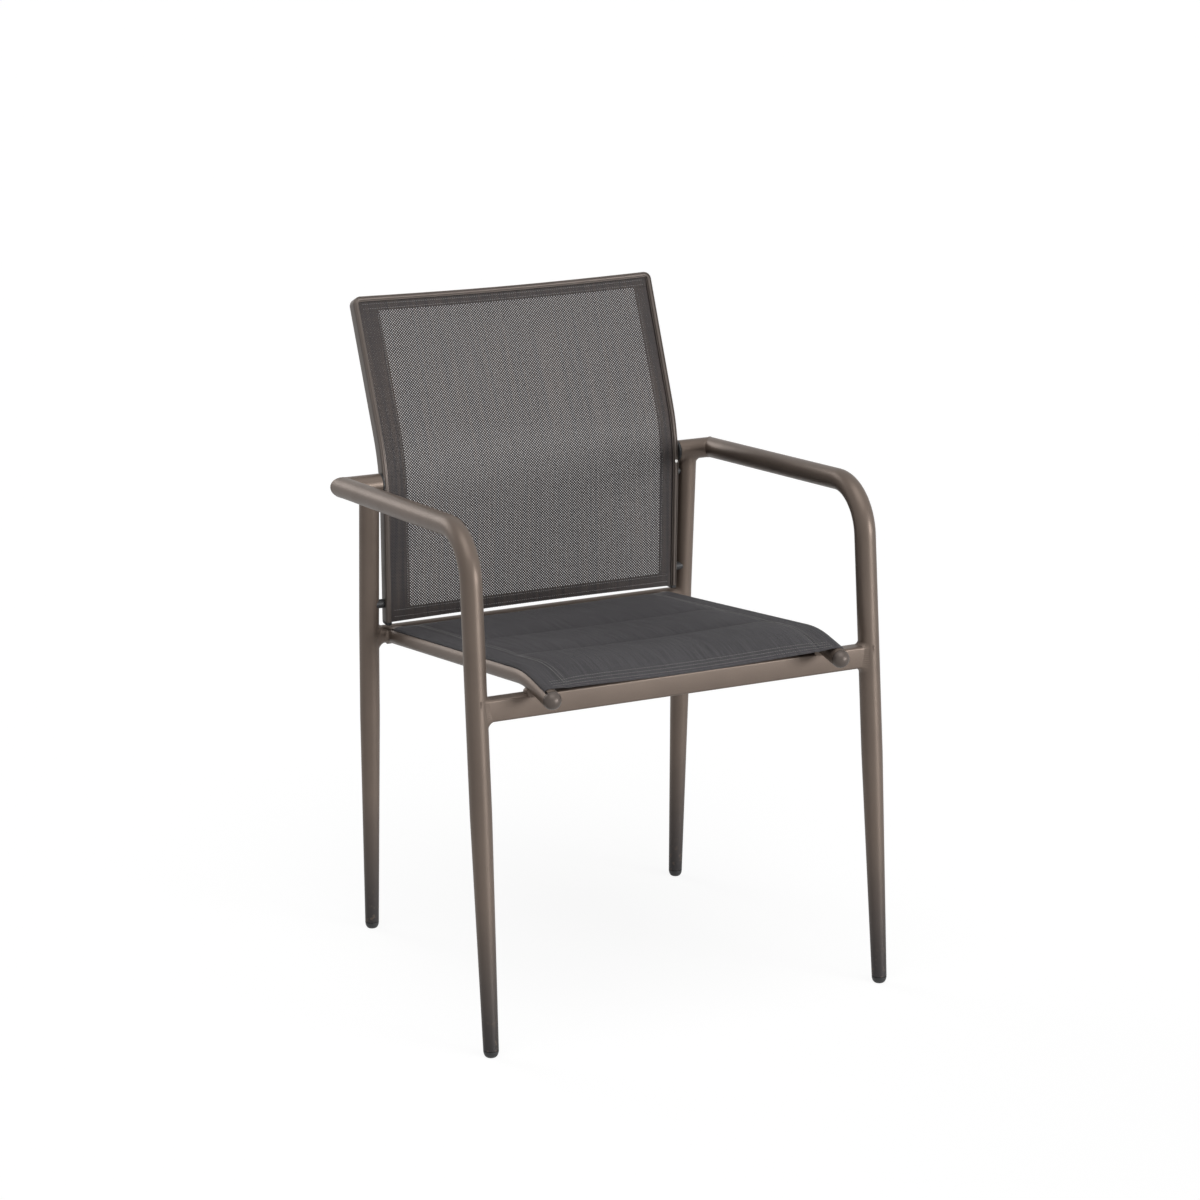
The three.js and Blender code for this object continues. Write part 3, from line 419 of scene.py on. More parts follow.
def quarter(radius, rise, steps, start=0.0):
    """Radii and heights of a quarter ellipse, by cos and sin, from its widest place to its top."""
    angle = np.linspace(0, TAU / 4, steps + 1)
    return np.stack([radius * np.cos(angle), start + rise * np.sin(angle)], axis=-1)


def meets(points, way, centre, axis, radius):
    """Where lines through points first meet a round bar.

    The smaller root of the quadratic for the distance from the bar's axis, or a line's nearest
    approach where it passes the bar by.
    """
    way, axis = unit(way), unit(axis)
    gap = points - centre
    flat_gap = gap - (gap @ axis)[..., None] * axis
    flat_way = way - (way @ axis) * axis
    square = flat_way @ flat_way
    half = flat_gap @ flat_way
    rest = np.sum(flat_gap * flat_gap, axis=-1) - radius**2
    reach = (-half - np.sqrt(np.maximum(half * half - square * rest, 0))) / square
    return points + reach[..., None] * way


def to_plane(points, way, place, normal):
    """Points moved along a way until they lie in a plane."""
    reach = ((place - points) @ normal) / (way @ normal)
    return points + reach[..., None] * way


def quads(rows, columns):
    """Faces of a grid whose rows close round on themselves."""
    start = np.arange(rows - 1)[:, None] * columns
    this = np.arange(columns)[None]
    after = (this + 1) % columns
    corners = [start + this, start + after, start + columns + after, start + columns + this]
    return np.stack(corners, axis=-1)


def mesh_of(name, grids, patterns, crease):
    """One mesh from grids: doubles merged, faces outwards, shaded smooth up to a crease."""
    points, faces, start = [], [], 0
    for grid in grids:
        rows, columns = grid.shape[-3:-1]
        grid = grid.reshape(-1, rows * columns, 3)
        offset = start + np.arange(len(grid))[:, None, None] * rows * columns
        faces.append((quads(rows, columns).reshape(1, -1, 4) + offset).reshape(-1, 4))
        points.append(grid.reshape(-1, 3))
        start += len(points[-1])
    mesh = bpy.data.meshes.new(name)
    mesh.from_pydata(np.vstack(points).tolist(), [], np.vstack(faces).tolist())
    if patterns:
        layer = mesh.uv_layers.new(name="cloth")
        corners = np.empty(len(mesh.loops), int)
        mesh.loops.foreach_get("vertex_index", corners)
        flat = np.vstack([pattern.reshape(-1, 2) for pattern in patterns])
        layer.data.foreach_set("uv", flat[corners].ravel())
    work = bmesh.new()
    work.from_mesh(mesh)
    bmesh.ops.remove_doubles(work, verts=work.verts, dist=1e-7)
    bmesh.ops.recalc_face_normals(work, faces=work.faces)
    work.to_mesh(mesh)
    work.free()
    mesh.shade_smooth()
    mesh.set_sharp_from_angle(angle=math.radians(crease))
    return mesh


def piece(name, grids, slot, finish, *nodes, patterns=None, crease=CREASE):
    """Adds a piece to the chair and hides the solids it stands for."""
    mesh = mesh_of(name, grids, patterns, crease)
    made = bpy.data.objects.new(name, mesh)
    bpy.context.scene.collection.objects.link(made)
    mesh.materials.append(finish_for(finish))
    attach(made, "root")
    if nodes:
        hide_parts(*nodes)
    return made


def mirrored(grids):
    """The left half's grids from the right half's."""
    return [grid * np.array([-1, 1, 1]) for grid in grids]


def pair(name, grid, slot, finish, node):
    """Adds a piece on the right and its mirror image on the left."""
    for side, grids in (("right", [grid]), ("left", mirrored([grid]))):
        piece(f"{name}_{side}", grids, slot, finish, f"{node}_{side}")


def refinish(finish, *nodes):
    """Gives solids that stay in view a finish."""
    for node in nodes:
        materials = bpy.data.objects[node].data.materials
        materials.clear()
        materials.append(finish_for(finish))


# The chair's own lines


def leg_point(foot, top, height):
    """The place on a leg's straight axis at a height."""
    return foot + (top - foot) * height / top[2]


def taper(heights, foot_radius, tube_radius):
    """A leg's radius: even from the foot's to the tube's at the top of the taper."""
    share = np.minimum(heights / TAPER_HEIGHT, 1)
    return foot_radius + (tube_radius - foot_radius) * share


SEAT_LINE = path_through(SEAT_CORNERS, [SEAT_BEND], LINE_STEP)
SEAT_WAYS = ways_along(SEAT_LINE)
BACK_LINE = path_through(BACK_CORNERS, [BACK_BEND], LINE_STEP)
BACK_WAYS = ways_along(BACK_LINE)
BACK_LENGTHS = lengths_along(BACK_LINE)
BACK_LENGTH = BACK_LENGTHS[-1]

ARM_WAY = unit(ARM_REAR - ARM_FRONT)
MITRE_NORMAL = unit(ARM_WAY - ACROSS)
FRONT_BAR_MIDDLE = leg_point(FRONT_FOOT, ARM_FRONT, FRONT_BAR_HEIGHT)
REAR_BAR_MIDDLE = leg_point(REAR_FOOT, REAR_BEND, REAR_BAR_HEIGHT)
RAIL_LINE = SEAT_LINE + ACROSS * RAIL_X


def line_at(line, ways, places, stops):
    """The y and z of a line, and its way's y and z, at stops along the given places."""
    return [np.interp(stops, places, values[:, i]) for values in (line, ways) for i in (1, 2)]


def seat_place(across, above, depth):
    """Places beside the seat's line: the line at a depth plus its normal times a height."""
    across, above, depth = np.broadcast_arrays(across, above, depth)
    line, ways = SEAT_LINE[::-1], SEAT_WAYS[::-1]
    y = FEET + depth
    _, z, way_y, way_z = line_at(line, ways, line[:, 1], y)
    return np.stack([across, y + way_z * above, z - way_y * above], axis=-1)


def back_place(across, length, behind):
    """Places on the back: across at its bottom edge, up along its face, and behind that face.

    The width grows evenly upwards, and the top edge hangs down by its bow times cos(across) near
    the top.
    """
    across, length, behind = np.broadcast_arrays(across, length, behind)
    high = length / BACK_LENGTH
    bow = TOP_BOW * np.cos(across / BACK_WIDTH * math.pi) * np.clip(high, 0, 1) ** 8
    y, z, way_y, way_z = line_at(BACK_LINE, BACK_WAYS, BACK_LENGTHS, length - bow)
    wide = across * (1 + BACK_FLARE / BACK_WIDTH * high)
    return np.stack([wide, y + way_z * behind, z - way_y * behind], axis=-1)


def back_length_at(height):
    """The length up the back's straight lower part at a height."""
    low, way = BACK_LINE[0], BACK_WAYS[0]
    return (height - low[2]) / way[2]


def back_half_at(height):
    """Half the back frame's outer width at a height."""
    return BACK_WIDTH / 2 + BACK_FLARE / 2 * back_length_at(height) / BACK_LENGTH


def bolt_place(height):
    """Where a bolt's axis crosses the outer side of the back frame."""
    depth = back_place(0.0, back_length_at(height), BOLT_SETBACK)[1]
    return np.array([back_half_at(height), depth, height])


def return_end():
    """Across: the inner end of the return tubes, a plug's flange outside the back frame."""
    return back_half_at(ARM_REAR[2]) + PLUG_FLANGE + 2 * PART_GAP


# Finishes


def new_finish(name, **values):
    """A material with its shader's sockets set, its node tree and its shader."""
    material = bpy.data.materials.new(name)
    material.use_nodes = True
    shader = material.node_tree.nodes["Principled BSDF"]
    for socket, value in values.items():
        shader.inputs[socket.replace("_", " ")].default_value = value
    return material, material.node_tree, shader


def feed(tree, shader, **sources):
    """Links outputs to the shader's sockets."""
    for socket, source in sources.items():
        tree.links.new(source, shader.inputs[socket.replace("_", " ")])


def add_node(tree, kind, *inputs, **settings):
    """A node whose inputs are filled in order: a socket is linked, a value is set, None is left."""
    node = tree.nodes.new("ShaderNode" + kind)
    for name, value in settings.items():
        setattr(node, name, value)
    for socket, value in zip(node.inputs, inputs):
        if isinstance(value, bpy.types.NodeSocket):
            tree.links.new(value, socket)
        elif value is not None:
            socket.default_value = value
    return node


def sum_of(tree, operation, *inputs):
    """The result of a Math node."""
    return add_node(tree, "Math", *inputs, operation=operation).outputs[0]


def mapped(tree, source, scale=(1, 1, 1)):
    """Object or cloth coordinates, scaled."""
    coordinates = add_node(tree, "TexCoord").outputs[source]
    return add_node(tree, "Mapping", coordinates, None, None, scale).outputs[0]


def noise(tree, place, scale, detail=3.0):
    """The value of a noise pattern."""
    return add_node(tree, "TexNoise", place, None, scale, detail).outputs[0]


def ramp(tree, factor, *stops):
    """A colour ramp through pairs of place and colour, or of place and grey."""
    node = add_node(tree, "ValToRGB", factor)
    elements = node.color_ramp.elements
    while len(elements) < len(stops):
        elements.new(0.5)
    for element, (place, colour) in zip(elements, stops):
        element.position = place
        element.color = (*np.broadcast_to(colour, 3).tolist(), 1)
    return node.outputs[0]


def between(tree, factor, low, high):
    """A value between two limits: low + factor (high - low)."""
    return add_node(tree, "MapRange", factor, 0.0, 1.0, low, high).outputs[0]


def multiplied(tree, first, *others):
    """The product of colours."""
    for other in others:
        mix = add_node(tree, "Mix", 1.0, data_type="RGBA", blend_type="MULTIPLY")
        tree.links.new(first, mix.inputs[6])
        tree.links.new(other, mix.inputs[7])
        first = mix.outputs[2]
    return first


def bumped(tree, shader, height, distance, strength=1.0):
    """Sets the shader's normal from a height pattern."""
    bump = add_node(tree, "Bump", strength, distance)
    tree.links.new(height, bump.inputs["Height"])
    feed(tree, shader, Normal=bump.outputs[0])


def shades(colour, *shares):
    """A colour made darker or lighter by each share."""
    return [tuple(min(part * share, 1) for part in colour) for share in shares]


def painted_shade_of(colour):
    """A slightly darker and cooler copy of a colour, for painted shade."""
    return tuple(part * share for part, share in zip(colour, (0.72, 0.77, 0.83)))


def powder_coat(name, colour, settings):
    """Satin powder coat: a slow change of shade and fine orange peel.

    Close to the floor it is lightly scuffed, and darker and cooler: a painted shade.
    """
    material, tree, shader = new_finish(
        name, Metallic=0.42, Specular_IOR_Level=0.3, Specular_Tint=(0.7, 0.7, 0.7, 1)
    )
    place = mapped(tree, "Object")
    height = add_node(tree, "SeparateXYZ", place).outputs[2]
    low = add_node(tree, "MapRange", height, 0.07, 0.012, 0.0, 1.0).outputs[0]
    marks = ramp(tree, noise(tree, place, 160, 5.0), (0.56, 0), (0.68, 1))
    worn = sum_of(tree, "MULTIPLY", marks, low)
    dark, base, light, scuff = shades(colour, 0.94, 1.0, 1.06, 0.72)
    tint = ramp(tree, noise(tree, place, 14), (0.3, dark), (0.5, base), (0.72, light))
    # Painted shade: towards the floor the coat is made darker and cooler.
    painted_floor_shade = ramp(tree, height, (0.015, (0.3, 0.35, 0.43)), (0.085, (0.56, 0.6, 0.66)), (0.2, 1))
    mix = add_node(tree, "Mix", data_type="RGBA")
    tree.links.new(worn, mix.inputs[0])
    tree.links.new(multiplied(tree, tint, painted_floor_shade), mix.inputs[6])
    mix.inputs[7].default_value = (*scuff, 1)
    smooth, dull = settings.roughness - 0.05, settings.roughness + 0.07
    rough = between(tree, noise(tree, place, 45), smooth, dull)
    rough = sum_of(tree, "MULTIPLY_ADD", worn, 0.2, rough)
    feed(tree, shader, Base_Color=mix.outputs[2], Roughness=rough)
    peel = sum_of(tree, "ADD", noise(tree, place, 620, 2.0), noise(tree, place, 190, 1.0))
    bumped(tree, shader, peel, settings.peel)
    return material


def moulded_plastic(name, colour, roughness):
    """Moulded plastic: a fine spark-eroded grain and slight differences in gloss."""
    material, tree, shader = new_finish(name)
    place = mapped(tree, "Object")
    tint = ramp(tree, noise(tree, place, 60), *zip((0.35, 0.65), shades(colour, 0.88, 1.12)))
    rough = between(tree, noise(tree, place, 240), roughness - 0.07, roughness + 0.09)
    feed(tree, shader, Base_Color=tint, Roughness=rough)
    bumped(tree, shader, noise(tree, place, 2400, 2.0), 0.00004)
    return material


def brushed_steel(name):
    """Stainless steel: turning marks from noise drawn out along one axis, and dull patches."""
    material, tree, shader = new_finish(name, Metallic=1.0)
    marks = noise(tree, mapped(tree, "Object", (300, 4000, 4000)), 1.0, 4.0)
    tint = ramp(tree, marks, (0.35, (0.46, 0.455, 0.44)), (0.65, (0.62, 0.615, 0.6)))
    dull = noise(tree, mapped(tree, "Object"), 180)
    feed(tree, shader, Base_Color=tint, Roughness=between(tree, dull, 0.2, 0.42))
    bumped(tree, shader, marks, 0.00002)
    return material


def foam_finish(name):
    """Open-cell foam: small round pores between lighter walls."""
    material, tree, shader = new_finish(name, Roughness=0.95)
    pores = add_node(tree, "TexVoronoi", mapped(tree, "Object"), None, 900.0).outputs[0]
    tint = ramp(tree, pores, (0.1, (0.42, 0.41, 0.38)), (0.5, (0.68, 0.67, 0.63)))
    feed(tree, shader, Base_Color=tint)
    bumped(tree, shader, pores, 0.0004)
    return material


def thread_finish(name, colour):
    """Sewing thread: plies seen as fine slanting bands."""
    material, tree, shader = new_finish(name, Roughness=0.75, Sheen_Weight=0.3)
    place = mapped(tree, "Object")
    plies = add_node(tree, "TexWave", place, 1500.0, 2.0, bands_direction="DIAGONAL").outputs[1]
    feed(tree, shader, Base_Color=ramp(tree, plies, *zip((0.1, 0.8), shades(colour, 0.7, 1.1))))
    bumped(tree, shader, plies, 0.00008)
    return material


def yarn_waves(tree, pitch):
    """A plain weave from the cloth's own coordinates.

    Warp is 0.5 + 0.5 cos(2 pi U) and weft 0.5 + 0.5 cos(2 pi V), U and V counted in yarns. The warp
    lies on top where cos(pi U) cos(pi V) is above 0. The upper yarn's height is the larger of warp
    times top and weft times (1 - top). Returns warp, weft, that height, and U pi and V pi.
    """
    split = add_node(tree, "SeparateXYZ", mapped(tree, "UV", (math.pi / pitch,) * 3))
    turns = split.outputs[0], split.outputs[1]
    waves = []
    for turn in turns:
        double = sum_of(tree, "COSINE", sum_of(tree, "MULTIPLY", turn, 2.0))
        waves.append(sum_of(tree, "MULTIPLY_ADD", double, 0.5, 0.5))
    over = sum_of(tree, "MULTIPLY", *(sum_of(tree, "COSINE", turn) for turn in turns))
    top = sum_of(tree, "MULTIPLY_ADD", over, 0.5, 0.5)
    below = sum_of(tree, "SUBTRACT", 1.0, top)
    raised = [sum_of(tree, "MULTIPLY", *both) for both in zip(waves, (top, below))]
    return *waves, sum_of(tree, "MAXIMUM", *raised), turns


def seat_cloth(name, settings):
    """Charcoal sling cloth: a tight plain weave, flecked yarn, a soft sheen and shifts of shade."""
    material, tree, shader = new_finish(
        name, Sheen_Weight=0.03, Sheen_Roughness=0.5, Specular_IOR_Level=0.15
    )
    _, _, height, _ = yarn_waves(tree, settings.yarn_pitch)
    place = mapped(tree, "Object")
    yarn = ramp(tree, height, *zip((0.2, 0.85), shades(settings.colour, 0.45, 1.25)))
    flecks = ramp(tree, noise(tree, place, 1400, 2.0), (0.4, 0.82), (0.62, 1.12))
    patches = ramp(tree, noise(tree, place, 9), (0.35, 0.94), (0.65, 1.0))
    drawn_out = noise(tree, mapped(tree, "UV", (420, 14, 1)), 1.0)
    streaks = ramp(tree, drawn_out, (0.36, 0.85), (0.64, 1.12))
    feed(
        tree,
        shader,
        Base_Color=multiplied(tree, yarn, flecks, patches, streaks),
        Roughness=between(tree, height, 0.86, 0.66),
    )
    bumped(tree, shader, height, 0.00022, 0.8)
    return material


def back_mesh(name, settings):
    """Coated mesh: a plain weave with cool and warm streaks, whose holes are staggered.

    A hole is open where warp and weft are both below 0.5 - 0.5 cos(pi opening) and sin(pi U) sin(pi
    V) is above 0.
    """
    material, tree, shader = new_finish(name, Specular_IOR_Level=0.35, Sheen_Weight=0.03)
    warp, weft, height, turns = yarn_waves(tree, settings.yarn_pitch)
    mixed = ramp(tree, height, *zip((0.15, 0.8), shades(settings.colour, 0.5, 1.3)))
    cool, warm = np.array([0.72, 0.75, 0.82]), np.array([1.32, 1.25, 1.2])
    for way, depth in (((230, 5, 1), 1.0), ((9, 320, 1), 0.3)):
        low, high = (1 + (tint - 1) * depth for tint in (cool, warm))
        streaks = ramp(tree, noise(tree, mapped(tree, "UV", way), 1.0), (0.36, low), (0.64, high))
        mixed = multiplied(tree, mixed, streaks)
    patches = noise(tree, mapped(tree, "Object"), 7)
    patches = ramp(tree, patches, (0.35, (0.93, 0.93, 0.95)), (0.65, 1.0))
    mixed = multiplied(tree, mixed, patches)
    feed(tree, shader, Base_Color=mixed, Roughness=between(tree, height, 0.7, 0.48))
    bumped(tree, shader, height, 0.0002, 0.8)
    limit = 0.5 - 0.5 * math.cos(math.pi * settings.opening)
    low = sum_of(tree, "LESS_THAN", sum_of(tree, "MAXIMUM", warp, weft), limit)
    stagger = sum_of(tree, "MULTIPLY", *(sum_of(tree, "SINE", turn) for turn in turns))
    hole = sum_of(tree, "MULTIPLY", low, sum_of(tree, "GREATER_THAN", stagger, 0.0))
    feed(tree, shader, Alpha=sum_of(tree, "SUBTRACT", 1.0, hole))
    return material


RECIPES = {
    "coat": lambda chair: powder_coat("satin_powder_coat", chair.coat.colour, chair.coat),
    # The back frame takes the tubes' coat made darker and cooler: a painted shade.
    "painted shade back coat": lambda chair: powder_coat(
        "back_frame_coat", painted_shade_of(chair.coat.colour), chair.coat
    ),
    # The rail caps take the frame's colour made darker and cooler: a painted shade.
    "cap": lambda chair: powder_coat(
        "frame_coloured_plastic", painted_shade_of(chair.coat.colour), chair.coat
    ),
    "black": lambda chair: moulded_plastic("dark_plastic", (0.018, 0.018, 0.019), 0.5),
    "cord": lambda chair: moulded_plastic("locking_cord", (0.03, 0.03, 0.032), 0.62),
    "steel": lambda chair: brushed_steel("stainless_steel"),
    "seat": lambda chair: seat_cloth("seat_weave", chair.seat),
    "mesh": lambda chair: back_mesh("open_mesh", chair.back),
    "foam": lambda chair: foam_finish("quick_drying_foam"),
    "thread": lambda chair: thread_finish("sewing_thread", chair.seat.thread),
}
FINISHES = {}


def finish_for(name):
    """The named finish, made the first time it is asked for."""
    if name not in FINISHES:
        FINISHES[name] = RECIPES[name](bpy.context.scene.sling_chair)
    return FINISHES[name]


# Operators


class SLINGCHAIR_OT_arms_and_legs(bpy.types.Operator):
    """Make the bent arms, their return tubes, the rear legs, the plugs and the foot glides."""

    bl_idname = "sling_chair.arms_and_legs"
    bl_label = "Arms and legs"

    def execute(self, context):
        sides = context.scene.sling_chair.coat.sides
        pair("bent_arm", self.arm(sides), "frame", "coat", "arm_leg_tube")
        pair("return_tube", self.return_tube(sides), "frame", "coat", "arm_return_tube")
        pair("tapered_rear_leg", self.rear_leg(sides), "frame", "coat", "rear_leg")
        pair("return_plug", self.plug(sides), "plastic", "black", "arm_end_plug")
        front = self.glide(FRONT_FOOT, ARM_FRONT, FRONT_FOOT_RADIUS, ARM_RADIUS, sides)
        rear = self.glide(REAR_FOOT, REAR_BEND, REAR_FOOT_RADIUS, LEG_RADIUS, sides)
        pair("front_glide", front, "plastic", "black", "front_foot_glide")
        pair("rear_glide", rear, "plastic", "black", "rear_foot_glide")
        return {"FINISHED"}

    @staticmethod
    def foot_end(grid, way):
        """Cuts a leg's first ring level and eases the edge above it."""
        rim_share, easing = 0.95, 0.0004
        level = to_plane(grid[0], way, UP * TUBE_START, UP)
        middle = level.mean(axis=0)
        rim = middle + (level - middle) * rim_share
        return np.concatenate([rim[None], level[None] + way * easing, grid[1:]])

    def arm(self, sides):
        """A circle carried up the leg, round the bend and along the arm to a mitre."""
        start = leg_point(FRONT_FOOT, ARM_FRONT, TUBE_START)
        places = path_through([start, ARM_FRONT, ARM_REAR], [ARM_BEND], LEG_STEP)
        ways = ways_along(places)
        radii = taper(places[:, 2], FRONT_FOOT_RADIUS, ARM_RADIUS)
        grid = rings(places, ways, ACROSS, circle(radii, sides))
        grid[-1] = to_plane(grid[-1], ways[-1], ARM_REAR, MITRE_NORMAL)
        return capped(self.foot_end(grid, ways[0]))

    def return_tube(self, sides):
        """A circle carried from the mitre straight inboard, its end's edge eased."""
        stops, easing = np.array([0, 0.98, 1, 1]), np.array([0, 0, 0.0001, 0.0006])
        places = ARM_REAR + stops[:, None] * ACROSS * (return_end() - ARM_REAR[0])
        outlines = circle(ARM_RADIUS - easing, sides)
        grid = rings(places, np.broadcast_to(-ACROSS, places.shape), UP, outlines)
        grid[0] = to_plane(grid[0], -ACROSS, ARM_REAR, MITRE_NORMAL)
        return capped(grid)

    def rear_leg(self, sides):
        """A circle carried up the leg and round its bend to the saddle under the return tube."""
        straight_end, sunk = 0.03, 0.0002
        start = leg_point(REAR_FOOT, REAR_BEND, TUBE_START)
        places = path_through([start, REAR_BEND, REAR_TOP], [REAR_LEG_BEND], LEG_STEP)
        places = np.vstack([places[places[:, 2] < REAR_TOP[2] - straight_end], REAR_TOP])
        ways = ways_along(places)
        radii = taper(places[:, 2], REAR_FOOT_RADIUS, LEG_RADIUS)
        grid = rings(places, ways, ACROSS, circle(radii, sides))
        grid[-1] = meets(grid[-1], ways[-1], ARM_REAR, ACROSS, ARM_RADIUS - sunk)
        return capped(self.foot_end(grid, ways[0]))

    def plug(self, sides):
        """A turned flange with a rounded rim, and its stem inside the return tube."""
        stem, stem_end, edge = ARM_RADIUS - 0.0018, 0.014, 0.0007
        rim, inner = quarter(edge, edge, 4), ARM_RADIUS - edge
        lower = np.stack([inner + rim[::-1, 0], edge - rim[::-1, 1]], axis=-1)
        upper = np.stack([inner + rim[:, 0], PLUG_FLANGE - edge + rim[:, 1]], axis=-1)
        tip = [[stem, PLUG_FLANGE], [stem, stem_end], [0, stem_end + 0.0006]]
        place = np.array([return_end() - PLUG_FLANGE - PART_GAP, *ARM_REAR[1:]])
        return aimed(turned([[0, 0], *lower, *upper, *tip], sides), place, ACROSS, UP)

    def glide(self, foot, top, foot_radius, tube_radius, sides):
        """A turned sole: flat, then a quarter round up to the tube, with a stem inside."""
        radius = taper(GLIDE_HEIGHT, foot_radius, tube_radius)
        stem, stem_end = radius - 0.0026, 0.0225
        angle = np.linspace(0, TAU / 4, 13)
        wide = GLIDE_FLAT + (radius - GLIDE_FLAT) * np.sin(angle)
        dome = np.stack([wide, GLIDE_HEIGHT * (1 - np.cos(angle))], axis=-1)
        tip = [[stem, GLIDE_HEIGHT], [stem, stem_end], [0, stem_end + 0.0005]]
        place = leg_point(foot, top, GLIDE_HEIGHT) * (1 - UP)
        return aimed(turned([[0, 0], *dome, *tip], sides), place, UP, ACROSS)


def across_places(outline, middle):
    """Places in the chair's middle plane from an outline's depths and heights."""
    return np.stack([np.zeros(len(outline)), *(middle[1:] + outline).T], axis=-1)


def at_front_leg(points):
    """Points moved outwards to the face of the right front leg."""
    return meets(points, ACROSS, FRONT_FOOT, ARM_FRONT - FRONT_FOOT, ARM_RADIUS)


def at_rear_leg(points):
    """Points moved outwards to the face of the right rear leg."""
    return meets(points, ACROSS, REAR_FOOT, REAR_BEND - REAR_FOOT, LEG_RADIUS)


def front_bar_outline():
    """The front crossbar's section."""
    return rounded_box(*FRONT_BAR_SIZE, FRONT_BAR_CORNER, 8)


class SLINGCHAIR_OT_crossbars(bpy.types.Operator):
    """Make the flat front crossbar and the round rear crossbar, coped to fit their legs."""

    bl_idname = "sling_chair.crossbars"
    bl_label = "Crossbars"

    def execute(self, context):
        front = self.bar(front_bar_outline(), FRONT_BAR_MIDDLE, at_front_leg)
        rear = self.bar(circle(REAR_BAR_RADIUS, 64), REAR_BAR_MIDDLE, at_rear_leg)
        piece("flat_front_bar", [front], "frame", "coat", "front_crossbar")
        piece("round_rear_bar", [rear], "frame", "coat", "rear_crossbar")
        return {"FINISHED"}

    def bar(self, outline, middle, meet):
        """An outline carried across the chair from leg face to leg face, by even shares."""
        right = meet(across_places(outline, middle)) + ACROSS * PART_GAP
        share = np.linspace(-1, 1, 25)[:, None, None]
        return capped(right * (1 - ACROSS) + share * right * ACROSS)


def weld(outline, place, meet, back, size, limit, turn=0.0):
    """A ripple-backed fillet of weld metal round a coped joint.

    For each point of the joint, the skin is (1 - s)^2 a + 2 s (1 - s) k + s^2 b, from a on the
    joining tube to b on the crossed one, with k near the joint. Ripples lift it by a cosine of the
    way round. limit is the outline's axis that the crossed tube bounds, and how far out that axis
    may go. turn is how much longer the bead is below the tube.
    """
    axis, bound = limit
    near, depth, ripple_length, ripple_height = 0.55, 0.0008, 0.0026, 0.00022

    def face(amount):
        wide = grown(outline, amount)
        wide[:, axis] = np.clip(wide[:, axis], -bound, bound)
        return meet(place(wide))

    corner = face(0.0)
    reach = size * (1 + turn * np.maximum(-unit(outline)[:, 1], 0))
    on_tube, on_cross = corner + back * reach[:, None], face(reach)
    sunk = face(-depth) - back * depth
    knee = corner * near + (on_tube + on_cross) / 2 * (1 - near)
    share = np.linspace(0, 1, 8)[None, :, None]
    skin = (
        (1 - share) ** 2 * on_tube[:, None]
        + 2 * share * (1 - share) * knee[:, None]
        + share**2 * on_cross[:, None]
    )
    round_way = lengths_along(np.vstack([corner, corner[:1]]))
    turns = TAU * round(round_way[-1] / ripple_length)
    ripples = (0.5 + 0.5 * np.cos(round_way[:-1] / round_way[-1] * turns)) * ripple_height
    outward = unit((on_tube + on_cross) / 2 - sunk)
    skin += outward[:, None] * ripples[:, None, None] * 4 * share * (1 - share)
    return closed_band(skin, sunk)


def closed_band(skin, sunk):
    """A closed ring of metal from its outer skin and one line inside the joint."""
    grid = np.concatenate([skin, sunk[:, None]], axis=1)
    return np.concatenate([grid, grid[:1]])


